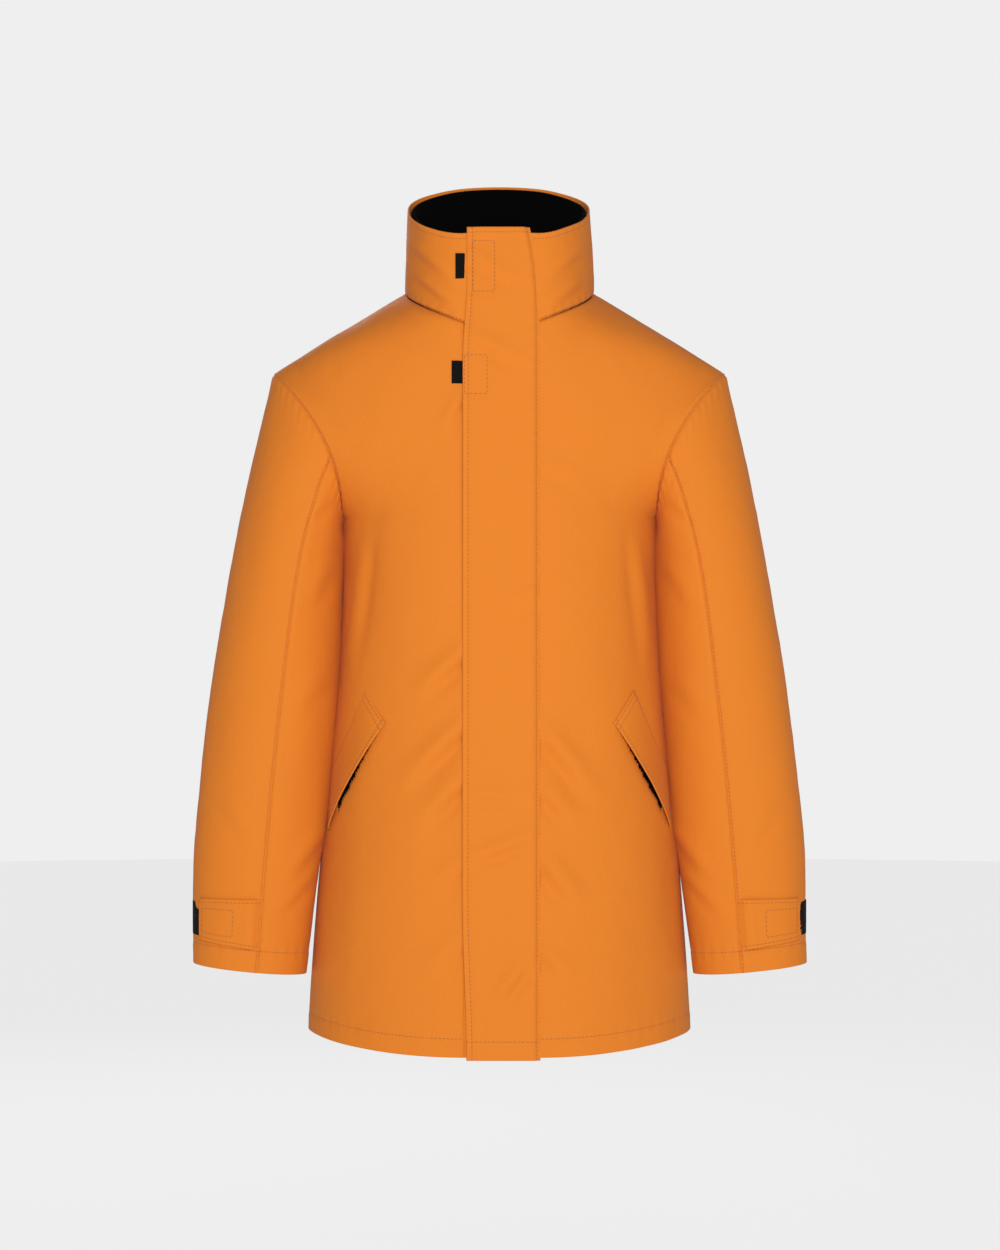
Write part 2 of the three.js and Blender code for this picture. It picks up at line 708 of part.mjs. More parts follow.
// The strip of shell between the front panel and the zip, under the storm flap.
function placketStrip() {
  const bottom = HEM_UP + SEAM_TRIM;
  const neckUp = upFor(-NECK_DROP) - SEAM_TRIM;
  return block(ZIP_WINDOW, FLAT_HALF - SEAM_TRIM, bottom, neckUp, -SHELL, 0);
}

// A part of the zip's chain, on one side of the middle.
function chainBlock(bottom, top) {
  return block(chainInner, chainOuter, bottom, top, CHAIN_BACK, CHAIN_FRONT);
}

function zipTape() {
  const start = chainOuter + TOUCH;
  const front = -SHELL - TOUCH;
  return block(start, start + TAPE_WIDTH, ZIP_BOTTOM, ZIP_TOP, front - TAPE, front);
}

function zipBox() {
  const top = ZIP_BOTTOM + BOX_LENGTH;
  return block(-chainOuter, chainInner - TOUCH, ZIP_BOTTOM, top, CHAIN_BACK, CHAIN_FRONT);
}

function zipHalf(side) {
  const group = new THREE.Group();
  group.add(
    piece(`placket_strip_${side}`, placketStrip(), ORANGE),
    piece(`zip_tape_${side}`, zipTape(), BLACK_TAPE),
    piece(`zip_teeth_${side}`, chainBlock(CHAIN_BOTTOM, CHAIN_TOP), BLACK_TAPE),
    piece(`zip_top_stop_${side}`, chainBlock(CHAIN_TOP + TOUCH, ZIP_TOP), BLACK_METAL),
  );
  if (side === "right") group.scale.x = -1;
  return group;
}

const SLIDER_TOP = CHAIN_TOP - 1;

// Two shield-shaped plates round the chain, joined by a bridge between its halves.
function zipSlider() {
  const half = SLIDER_WIDTH / 2;
  const foot = half * 0.55;
  const shoulder = half * 0.8;
  const shoulderUp = SLIDER_TOP - SLIDER_LENGTH * 0.3;
  const shield = new THREE.Shape();
  shield.moveTo(-foot, SLIDER_TOP - SLIDER_LENGTH);
  shield.lineTo(foot, SLIDER_TOP - SLIDER_LENGTH);
  shield.lineTo(half, shoulderUp);
  shield.lineTo(shoulder, SLIDER_TOP);
  shield.lineTo(-shoulder, SLIDER_TOP);
  shield.lineTo(-half, shoulderUp);
  const frontPlate = CHAIN_FRONT + TOUCH;
  const backPlate = CHAIN_BACK - TOUCH - SLIDER_PLATE;
  const bridge = chainInner - TOUCH;
  const bridgeTop = SLIDER_TOP - 1;
  return joined(
    slab(shield, frontPlate, frontPlate + SLIDER_PLATE),
    slab(shield, backPlate, backPlate + SLIDER_PLATE),
    block(-bridge, bridge, bridgeTop - SLIDER_BRIDGE, bridgeTop, backPlate + TOUCH, frontPlate + TOUCH),
  );
}

function zipPuller() {
  const top = SLIDER_TOP - SLIDER_LENGTH * 0.3;
  const back = CHAIN_FRONT + TOUCH + SLIDER_PLATE + TOUCH;
  const half = PULLER_WIDTH / 2;
  const neck = half * 0.6;
  const roundUp = top - PULLER_LENGTH + half;
  const shape = new THREE.Shape();
  shape.moveTo(-neck, top);
  shape.lineTo(-half, roundUp);
  shape.absarc(0, roundUp, half, Math.PI, 0, false);
  shape.lineTo(neck, top);
  const hole = new THREE.Path();
  hole.absarc(0, roundUp, PULLER_HOLE / 2, 0, 2 * Math.PI, true);
  shape.holes.push(hole);
  return slab(shape, back, back + PULLER);
}

// A loop pad on the front and the taller hook pad on the flap over it.
function closurePads(name, middleZ, height) {
  const up = upFor(middleZ);
  const half = height / 2;
  const hookHalf = half + HOOK_MARGIN;
  const hookLeft = FLAP_EDGE_X + PAD_INSET;
  const hookRight = hookLeft + PAD_WIDTH;
  const loopLeft = FLAP_EDGE_X - LOOP_SHOWS;
  const loopFront = TOUCH + LOOP;
  const loop = block(loopLeft, hookRight, up - half, up + half, TOUCH, loopFront);
  const hookBack = loopFront + TOUCH;
  const hook = block(hookLeft, hookRight, up - hookHalf, up + hookHalf, hookBack, hookBack + HOOK);
  return [piece(`${name}_loop_pad`, loop, BLACK_HOOK), piece(`${name}_hook_pad`, hook, BLACK_HOOK)];
}

// ---- hanger loop, inside the centre back neck ----

function hangerLoop() {
  const half = HANGER_SPAN / 2;
  const inner = half - HANGER_BAND;
  const collarDepth = SHELL + PLY_GAP + COLLAR_LINING;
  const liningHalf = NECK_HALF - collarDepth;
  const endY = (NECK_BACK - collarDepth) * Math.sqrt(1 - (half / liningHalf) ** 2);
  const top = NECK_RISE + HANGER_RISE;
  const low = top - HANGER_SAG;
  const lowest = low - HANGER_BAND;
  const shape = new THREE.Shape();
  shape.moveTo(-half, top);
  shape.quadraticCurveTo(-half, lowest, 0, lowest);
  shape.quadraticCurveTo(half, lowest, half, top);
  shape.lineTo(inner, top);
  shape.quadraticCurveTo(inner, low, 0, low);
  shape.quadraticCurveTo(-inner, low, -inner, top);
  const options = { depth: HANGER, bevelEnabled: false, curveSegments: 8 };
  const geometry = new THREE.ExtrudeGeometry(shape, options);
  geometry.rotateX(Math.PI / 2);
  return geometry.translate(0, endY - HANGER_GAP, 0);
}

// ---- assembly ----

const sleeveShell = (angles) => sleevePiece(angles, 0, SHELL, 1);
const sleeveLining = (angles) =>
  sleevePiece(angles, LINING_NEAR, LINING_NEAR + SLEEVE_LINING, LINING_LAST_SHARE);

function sidePieces(side) {
  const group = new THREE.Group();
  group.add(
    piece(`front_panel_${side}`, frontShell(), ORANGE),
    piece(`front_lining_${side}`, frontLining(), BLACK_LINING),
    piece(`pocket_welt_${side}`, pocketWelt(), ORANGE),
    piece(`pocket_bag_${side}`, pocketBag(), POCKETING),
    piece(`upper_sleeve_${side}`, sleeveShell(UPPER_ANGLES), ORANGE),
    piece(`under_sleeve_${side}`, sleeveShell(UNDER_ANGLES), ORANGE),
    piece(`upper_sleeve_lining_${side}`, sleeveLining(UPPER_ANGLES), BLACK_LINING),
    piece(`under_sleeve_lining_${side}`, sleeveLining(UNDER_ANGLES), BLACK_LINING),
    piece(`cuff_tab_${side}`, cuffTab(), ORANGE),
    piece(`cuff_tab_hook_${side}`, cuffTabHook(), BLACK_HOOK),
    piece(`cuff_loop_strip_${side}`, cuffLoopStrip(), BLACK_HOOK),
  );
  if (side === "right") group.scale.x = -1;
  return group;
}

const COLLAR_LINING_START = (FLAT_ROUND * TAPE_WIDTH) / (FLAT_HALF - ZIP_WINDOW);

function collarPiece(near, far, drop, start) {
  return sheet(collarSurface, {
    columns: collarColumns(start),
    rows: steps(0, 1 - drop / (RIM_FRONT_Z + NECK_DROP), 3),
    near,
    far,
    facing: 1,
  });
}

const placket = new THREE.Group();
placket.position.set(0, FRONT_Y, FRONT_Z);
placket.rotation.x = Math.atan2(1, FRONT_LEAN);
placket.add(
  piece("storm_flap", stormFlap(), ORANGE),
  ...closurePads("collar", COLLAR_PAD_Z, COLLAR_PAD_HEIGHT),
  ...closurePads("chest", CHEST_PAD_Z, CHEST_PAD_HEIGHT),
  zipHalf("left"),
  zipHalf("right"),
  piece("zip_pin", chainBlock(ZIP_BOTTOM, CHAIN_BOTTOM - TOUCH), BLACK_METAL),
  piece("zip_box", zipBox(), BLACK_METAL),
  piece("zip_slider", zipSlider(), BLACK_METAL),
  piece("zip_puller", zipPuller(), BLACK_METAL),
);

const coat = new THREE.Group();
coat.add(
  placket,
  sidePieces("left"),
  sidePieces("right"),
  piece("back_panel", backPiece(0, SHELL, 3), ORANGE),
  piece("back_lining", backPiece(LINING_NEAR, LINING_NEAR + LINING, LINING_LAST_ROW), BLACK_LINING),
  piece("collar_outer", collarPiece(0, SHELL, 0, 0), ORANGE),
  piece(
    "collar_lining",
    collarPiece(LINING_NEAR, LINING_NEAR + COLLAR_LINING, COLLAR_LINING_DROP, COLLAR_LINING_START),
    BLACK_FLEECE,
  ),
  piece("hanger_loop", hangerLoop(), BLACK_TAPE),
);

export default coat;
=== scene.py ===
"""The looks of a stand-collar work parka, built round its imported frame."""

import math

import bpy
import numpy as np
from bpy.props import FloatProperty, FloatVectorProperty, PointerProperty
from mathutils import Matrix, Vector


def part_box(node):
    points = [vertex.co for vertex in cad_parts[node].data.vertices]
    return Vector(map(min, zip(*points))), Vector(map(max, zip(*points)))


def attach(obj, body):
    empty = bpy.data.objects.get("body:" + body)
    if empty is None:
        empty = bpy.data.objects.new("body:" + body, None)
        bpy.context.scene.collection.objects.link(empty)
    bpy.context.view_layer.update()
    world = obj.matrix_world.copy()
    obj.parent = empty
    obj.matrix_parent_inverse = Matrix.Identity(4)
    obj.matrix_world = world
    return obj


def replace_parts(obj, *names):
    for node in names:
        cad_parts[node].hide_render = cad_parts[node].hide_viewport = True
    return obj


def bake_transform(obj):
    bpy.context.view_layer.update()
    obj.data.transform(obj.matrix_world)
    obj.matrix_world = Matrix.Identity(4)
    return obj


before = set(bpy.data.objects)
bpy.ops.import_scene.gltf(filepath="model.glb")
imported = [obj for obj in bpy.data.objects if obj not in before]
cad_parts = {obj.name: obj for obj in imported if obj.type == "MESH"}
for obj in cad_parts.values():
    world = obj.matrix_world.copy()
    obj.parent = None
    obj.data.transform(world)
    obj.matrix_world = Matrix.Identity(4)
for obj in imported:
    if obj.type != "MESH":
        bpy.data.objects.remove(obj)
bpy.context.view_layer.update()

bl_info = {
    "name": "Work Parka",
    "version": (1, 0, 0),
    "blender": (4, 5, 0),
    "location": "View3D > Sidebar > Parka",
    "description": "Builds a stand-collar work parka piece by piece",
    "category": "Add Mesh",
}

MM = 0.001
SIDES = (("left", 1), ("right", -1))

# ---- the pattern's sizes, in millimetres, as the frame has them; only the cuff tab, which ends at
# TAB_END, is 12 degrees shorter here, so that the loop strip shows beyond it ----
NECK_HALF, NECK_DROP, NECK_RISE, NECK_BACK = 104, 43, 20, 88
HIGH_POINT = 0.025  # the body panels start this share along the shoulder seam
SHOULDER_HALF, SHOULDER_DROP = 252, 91
CHEST_HALF, HEM_HALF, UNDERARM_Z = 172, 212, -252
HEM_SIDE_Z, HEM_FRONT_Z, HEM_BACK_Z = -821, -835, -832
FLAT_HALF, FRONT_Y, FRONT_Z, FRONT_LEAN, ZIP_WINDOW = 38, -101, -36, 0.0586, 7.5
RIM_HALF, RIM_FRONT_Z, RIM_BACK_Z, RIM_BACK_Y = 100, 57.5, 129, 75
ARMHOLE_BULGE, BULGE_END, FRONT_SEAM, BACK_SEAM = 22, 0.4, 102, 250
FLAT_ROUND, SIDE_ROUND = 0.08, 0.28
FLAP_SEAM_X, FLAP_EDGE_X, FLAP_RISE, FLAP_TOP_NARROWING, FLAP_HEM_DROP = 44, -40, 5, 11, 3
FLAP_CURVE, FLAP_FRONT, FLAP_SWING = 0.6, 5.6, 4.5
LINING_NEAR, LINING_HEM, LINING_CUFF = 3.5, 32, 28
TAB_START, TAB_END, TAB_MIDDLE, TAB_SEAM_HEIGHT, TAB_END_HEIGHT = 100, 34, 0.905, 54, 44
LOOP_START, LOOP_END, LOOP_HEIGHT = 48, -62, 36
PAD_STACK, TAB_THICKNESS = 2.6, 2
WELT_CORNERS = ((147, -444), (123, -479), (188, -606), (183, -533))
WELT_STANDOFF, SLIT_ENDS, SLIT_SIDES = 9, (0.14, 0.84), (0.4, 0.86)
BAG_ANGLES, BAG_Z = (16, 71), (-452, -690)
BAG_CLEAR_Z, BAG_CLEAR_ANGLE, BAG_FAR = 12, 6, 16.2
HANGER_SPAN, HANGER_BAND, HANGER_SAG, HANGER_RISE = 82, 9, 20, 6

# ---- edges, seams and thicknesses that are only drawn here, in millimetres ----
TAPE_INNER, TAPE_OUTER, TAPE_DEPTH, TAPE_THICKNESS = 3.7, 16.7, 3.3, 0.8
TAPE_ABOVE_HEM, TAPE_BELOW_RIM = 45, 9
TOOTH_X, TOOTH_DEPTH, TOOTH_WIDTH, TOOTH_THICKNESS, TOOTH_SHARE, TOOTH_BEVEL = 1.7, 3.7, 3.6, 2.4, 0.52, 0.35
HEM_TURNED, CUFF_TURNED, EDGE_TURNED = 20, 24, 6
FLEECE_THICKNESS, HANGER_THICKNESS, BAG_THICKNESS = 4, 1.6, 1.0
FLAP_LAYERS = 0.4  # how much thicker the doubled flap is than one layer of shell
BORDERS = ("start", "end", "top", "bottom")
FINE_RIM = (0.3, 0.8)
SLEEVE_PARTS = (("upper", BACK_SEAM - 360, FRONT_SEAM), ("under", FRONT_SEAM, BACK_SEAM))

# ---- how far round the sleeve a cuff tab's bend would lie; follow works out that point but does not use it ----
TAB_BEND = 14  # degrees round the sleeve

# ---- where the soft folds lie: start, end, height and width, as (x, z) in millimetres ----
FRONT_FOLDS = {
    "right": (
        ((-36, -392), (-92, -446), 4.2, 11),
        ((-36, -470), (-106, -540), 4.8, 12),
        ((-36, -528), (-92, -586), 4.2, 12),
        ((-36, -620), (-78, -656), 2.2, 12),
        ((-38, -704), (-84, -742), 2.2, 13),
        ((-42, -116), (-64, -164), 2.4, 8),
        ((-150, -280), (-166, -420), 2.6, 9),
    ),
    "left": (
        ((46, -478), (108, -556), 4.4, 12),
        ((46, -540), (86, -588), 3.8, 11),
        ((46, -616), (92, -676), 4.2, 12),
        ((44, -714), (80, -752), 3.0, 11),
        ((150, -280), (166, -420), 2.6, 9),
        ((46, -190), (96, -214), 1.2, 12),
    ),
}
COLLAR_FOLDS = (
    ((-96, 56), (-46, 4), 3.8, 9),
    ((-90, 18), (-46, -22), 3.4, 8),
    ((-98, 88), (-66, 50), 2.4, 9),
    ((96, 54), (50, 10), 2.8, 9),
    ((88, 12), (48, -24), 2.8, 9),
)
FLAP_FOLDS = (
    ((-34, -622), (46, -590), 3.0, 9),
    ((-34, -548), (30, -556), 1.95, 9),
    ((-4, -772), (34, -722), 3.3, 9),
    ((-38, -50), (34, -88), 2.25, 9),
    ((-36, 38), (14, 6), 2.1, 8),
    ((44, -330), (4, -352), 1.5, 11),
)
SLEEVE_FOLDS = (
    # on the left sleeve, and mirrored on the right one
    ((196, -590), (238, -655), 2.2, 9),
    ((206, -640), (250, -690), 1.6, 8),
    ((190, -300), (214, -352), 1.8, 10),
    ((186, -226), (226, -262), 1.6, 9),
    ((196, -420), (232, -470), 1.4, 12),
    ((300, -560), (262, -612), 1.2, 12),
)

# ---- what is sewn on the flap and the cuff tabs ----
FLAP_BOXES = ((-33, -8, -8, 47), (-38, -13.5, -120, -77.5))  # left, right, low and high edges of each stitched box
PADS = (
    # name, middle height, length, left edge and the flap's own edge beside it
    ("collar", 20, 28, -48, FLAP_EDGE_X + FLAP_SWING),
    ("chest", -96, 25, -52, FLAP_EDGE_X),
)
PAD_RIGHT, HOOK_LEFT, LOOP_PROUD = -12, -33, 1.9  # a loop pad rides up onto the cloth beside the flap
TAB_BOX = ((0.38, 0.22), (0.92, 0.22), (0.92, 0.78), (0.38, 0.78), (0.38, 0.22))  # along and across the tab

# ---- the stage, in metres and watts ----
FLOOR_Z, FLOOR_RADIUS, FLOOR_GLOW, AMBIENT, PAPER = -1.3, 9, 0.9, 0.36, "#EFEFEF"
CAMERA_PLACE, CAMERA_LENS, CAMERA_SENSOR = (0.0006, -3.5, -0.3707), 90, 36
LIGHTS = (
    # name, place, aim, power and size
    ("key_softbox", (0.15, -3.1, 0.1), (0, 0, -0.4), 75, 1.0),
    ("back_softbox", (-0.6, 3.0, 0.9), (0, 0, -0.4), 52, 1.2),
)
WAVE_PERIOD = math.pi / 10  # a wave texture of scale 1 repeats after this length


# ---- maths on arrays of points ----


def lerp(a, b, share):
    return a + (b - a) * share


def ease(value, low, high):
    share = np.clip((np.asarray(value, float) - low) / (high - low), 0, 1)
    return share * share * (3 - 2 * share)


def bell(distance, width):
    return np.exp(-((np.asarray(distance, float) / width) ** 2))


def profile(*values):
    """A smooth curve through values spaced evenly over 0 to 1."""
    values = np.array(values, float)
    last = len(values) - 1

    def curve(share):
        place = last * np.clip(np.asarray(share, float), 0, 1)
        i = np.floor(place).astype(int)
        w = place - i
        p0, p1 = values[np.maximum(i - 1, 0)], values[i]
        p2, p3 = values[np.minimum(i + 1, last)], values[np.minimum(i + 2, last)]
        v0, v1 = (p2 - p0) / 2, (p3 - p1) / 2
        return (2 * p1 - 2 * p2 + v0 + v1) * w**3 + (3 * (p2 - p1) - 2 * v0 - v1) * w**2 + v0 * w + p1

    return curve


def stack(x, y, z):
    return np.stack(np.broadcast_arrays(x, y, z), axis=-1).astype(float)


def unit(vectors):
    return vectors / np.maximum(np.linalg.norm(vectors, axis=-1, keepdims=True), 1e-12)


def cloud(points, size, seed):
    """Smooth noise from -1 to 1 over points, with lumps about size millimetres across."""
    place = points / size
    cell = np.floor(place).astype(np.int64)
    part = place - cell
    part = part * part * (3 - 2 * part)
    total = np.zeros(points.shape[:-1])
    for i in (0, 1):
        for j in (0, 1):
            for k in (0, 1):
                x, y, z = (cell[..., n] + (i, j, k)[n] for n in range(3))
                mixed = (x * 73856093) ^ (y * 19349663) ^ (z * 83492791) ^ (seed * 2654435761)
                mixed = ((mixed ^ (mixed >> 13)) * 1274126177) & 0xFFFFFFFF
                value = ((mixed >> 8) & 0xFFFF) / 32767.5 - 1
                share = [part[..., n] if (i, j, k)[n] else 1 - part[..., n] for n in range(3)]
                total += value * share[0] * share[1] * share[2]
    return total


# ---- the garment's surfaces ----

SIDE_FLARE = profile(0, 0.145, 0.44, 0.77, 1)
BACK_LINE = profile(NECK_BACK, 123, 111, 133, 136)
OUTER_X = profile(SHOULDER_HALF, 280, 304.5, 325, 338, 338.5)
OUTER_Z = profile(-SHOULDER_DROP, -213, -343, -484, -620, -745)
INNER_X = profile(CHEST_HALF + 3, 178, 182.5, 191, 201, 216.5)
INNER_Z = profile(UNDERARM_Z, -318, -420, -522, -632, -757)
SLEEVE_DEPTH = profile(76, 76, 72, 64, 54, 47)
SLEEVE_FORWARD = profile(0, 4, 10, 17, 24, 30)
SLEEVE_LENGTH = math.hypot(338.5 - SHOULDER_HALF, 745 - SHOULDER_DROP)


def lean_y(z):
    return FRONT_Y + (z - FRONT_Z) * FRONT_LEAN


def sleeve_point(angle, share):
    """angle runs round the sleeve in degrees, 0 outside and 90 in front; share runs down it."""
    turn = np.radians(angle)
    out = (1 + np.cos(turn)) / 2
    fade = np.clip(1 - share / BULGE_END, 0, 1) ** 2
    x = lerp(INNER_X(share), OUTER_X(share), out) - ARMHOLE_BULGE * fade * np.sin(turn) ** 2
    z = lerp(INNER_Z(share), OUTER_Z(share), out)
    return stack(x, -SLEEVE_FORWARD(share) - SLEEVE_DEPTH(share) * np.sin(turn), z)


def body_surface(front):
    """across runs from the middle (0) to the seam (1); down runs 0 to 1 along the shoulder,
    to 2 along the armhole and to 3 down the side."""
    neck_y = lean_y(-NECK_DROP) if front else NECK_BACK
    neck_z = -NECK_DROP if front else NECK_RISE
    middle_x = FLAT_HALF if front else 0
    hem_z = HEM_FRONT_Z if front else HEM_BACK_Z

    def middle(z):
        y = lean_y(z) if front else BACK_LINE((neck_z - z) / (neck_z - hem_z))
        return stack(middle_x, y, z)

    def surface(across, down):
        shoulder = np.clip(down, 0, 1)
        armhole = np.clip(down - 1, 0, 1)
        side = np.clip(down - 2, 0, 1)
        turn = np.radians(90 * shoulder)
        neck_x = middle_x + (NECK_HALF - middle_x) * np.cos(turn)
        start = stack(neck_x, neck_y * np.sin(turn), neck_z * shoulder)
        end = stack(lerp(NECK_HALF, SHOULDER_HALF, shoulder), 0, -SHOULDER_DROP * shoulder)
        depth = np.full(start.shape[:-1], float(neck_y))
        at_armhole = (down > 1)[..., None]
        start = np.where(at_armhole, middle(lerp(neck_z, UNDERARM_Z, armhole)), start)
        end = np.where(at_armhole, sleeve_point((180 if front else -180) * armhole, 0 * armhole), end)
        at_side = (down > 2)[..., None]
        ease_x = (INNER_X(0) - CHEST_HALF) * (1 - ease(side, 0, 0.12))
        side_x = lerp(CHEST_HALF, HEM_HALF, SIDE_FLARE(side)) + ease_x
        start = np.where(at_side, middle(lerp(UNDERARM_Z, hem_z, side)), start)
        end = np.where(at_side, stack(side_x, 0, lerp(UNDERARM_Z, HEM_SIDE_Z, side)), end)
        depth = np.where(down > 1, start[..., 1], depth)
        first = np.arccos(np.clip(start[..., 1] / depth, -1, 1))
        last = np.arccos(np.clip(end[..., 1] / depth, -1, 1))
        angle = lerp(first, last, across)
        out = (np.sin(angle) - np.sin(first)) / (np.sin(last) - np.sin(first))
        drop = np.where(down > 2, out**2, out)
        x = lerp(start[..., 0], end[..., 0], out)
        return stack(x, depth * np.cos(angle), lerp(start[..., 2], end[..., 2], drop))

    return surface


front_surface = body_surface(True)
back_surface = body_surface(False)


def row_at(z):
    return 2 + (UNDERARM_Z - z) / (UNDERARM_Z - HEM_FRONT_Z)


def front_by_angle(angle, z):
    return front_surface(angle / 90, row_at(z))


def front_at(x, z):
    half = lerp(CHEST_HALF, HEM_HALF, SIDE_FLARE(row_at(z) - 2))
    angle = np.degrees(np.arcsin(np.clip((x - FLAT_HALF) / (half - FLAT_HALF), 0, 1)))
    return front_by_angle(angle, z)


def collar_ring(round_, half, front_y, back_y):
    side = np.minimum(round_, 1 - round_)
    sign = np.where(round_ <= 0.5, 1, -1)
    to_front = np.clip((SIDE_ROUND - side) / (SIDE_ROUND - FLAT_ROUND), 0, 1)
    to_back = np.clip((side - SIDE_ROUND) / (0.5 - SIDE_ROUND), 0, 1)
    front_turn, back_turn = np.radians(90 * to_front), np.radians(90 * to_back)
    flat_x = lerp(ZIP_WINDOW, FLAT_HALF, side / FLAT_ROUND)
    front_x = FLAT_HALF + (half - FLAT_HALF) * np.cos(front_turn)
    x = np.where(side <= FLAT_ROUND, flat_x, np.where(side <= SIDE_ROUND, front_x, half * np.cos(back_turn)))
    y = np.where(side <= SIDE_ROUND, front_y * np.sin(front_turn), back_y * np.sin(back_turn))
    return sign * x, y, np.where(side <= SIDE_ROUND, to_front, -to_back)


def collar_surface(round_, up):
    base_x, base_y, turn = collar_ring(round_, NECK_HALF, lean_y(-NECK_DROP), NECK_BACK)
    base_z = np.where(turn >= 0, -NECK_DROP * turn, -NECK_RISE * turn)
    rim_x, rim_y, _ = collar_ring(round_, RIM_HALF, lean_y(RIM_FRONT_Z), RIM_BACK_Y)
    back = (rim_y - lean_y(RIM_FRONT_Z)) / (RIM_BACK_Y - lean_y(RIM_FRONT_Z))
    rim_z = lerp(RIM_FRONT_Z, RIM_BACK_Z, back)
    return lerp(stack(base_x, base_y, base_z), stack(rim_x, rim_y, rim_z), np.asarray(up)[..., None])


LEAN_LENGTH = math.hypot(1, FRONT_LEAN)
PLACKET_UP = np.array([0, FRONT_LEAN, 1]) / LEAN_LENGTH
PLACKET_OUT = np.array([0, -1, FRONT_LEAN]) / LEAN_LENGTH
NECK_UP = (-NECK_DROP - FRONT_Z) * LEAN_LENGTH
RIM_UP = (RIM_FRONT_Z - FRONT_Z) * LEAN_LENGTH
HEM_UP = (HEM_FRONT_Z - FRONT_Z) * LEAN_LENGTH
FLAP_LOW = HEM_UP - FLAP_HEM_DROP
FLAP_TALL = RIM_UP + FLAP_RISE - FLAP_LOW


def up_for(z):
    return (z - FRONT_Z) * LEAN_LENGTH


def on_placket(x, up, out=0.0):
    """A point on the flat front: across, up the lean and out from the shell's face."""
    x, up, out = np.broadcast_arrays(np.asarray(x, float), up, out)
    middle = np.array([0, FRONT_Y, FRONT_Z], float)
    return middle + x[..., None] * [1, 0, 0] + up[..., None] * PLACKET_UP + out[..., None] * PLACKET_OUT


def flap_seam_x(up):
    """The flap's sewn edge: straight down the body, turning in up the collar."""
    share = np.linspace(0, 1, 60)
    top = RIM_UP + FLAP_RISE
    curve = lerp(NECK_UP, top, FLAP_CURVE)
    ups = (1 - share) ** 2 * NECK_UP + 2 * (1 - share) * share * curve + share**2 * top
    return np.interp(up, ups, FLAP_SEAM_X - FLAP_TOP_NARROWING * share**2)


def flap_surface(across, up_share):
    up = FLAP_LOW + FLAP_TALL * up_share
    edge = FLAP_EDGE_X + FLAP_SWING * (ease(up, HEM_UP + 170, HEM_UP) + ease(up, NECK_UP - 40, NECK_UP + 50))
    return on_placket(lerp(edge, flap_seam_x(up), across), up, FLAP_FRONT)


def cuff_band(start, end, start_height, end_height):
    def surface(along, down):
        height = lerp(start_height, end_height, along)
        share = TAB_MIDDLE + (down - 0.5) * height / SLEEVE_LENGTH
        return sleeve_point(lerp(start, end, along), share)

    return surface


tab_surface = cuff_band(TAB_START, TAB_END, TAB_SEAM_HEIGHT, TAB_END_HEIGHT)
loop_strip_surface = cuff_band(LOOP_START, LOOP_END, LOOP_HEIGHT, LOOP_HEIGHT)


def welt_surface(along, across):
    top_outer, top_inner, low_inner, low_outer = (np.array(c, float) for c in WELT_CORNERS)
    along, across = np.asarray(along)[..., None], np.asarray(across)[..., None]
    sewn = lerp(top_outer, low_outer, along)
    free = lerp(top_inner, low_inner, along)
    place = lerp(sewn, free, across)
    return front_at(place[..., 0], place[..., 1])


# ---- making cloth ----


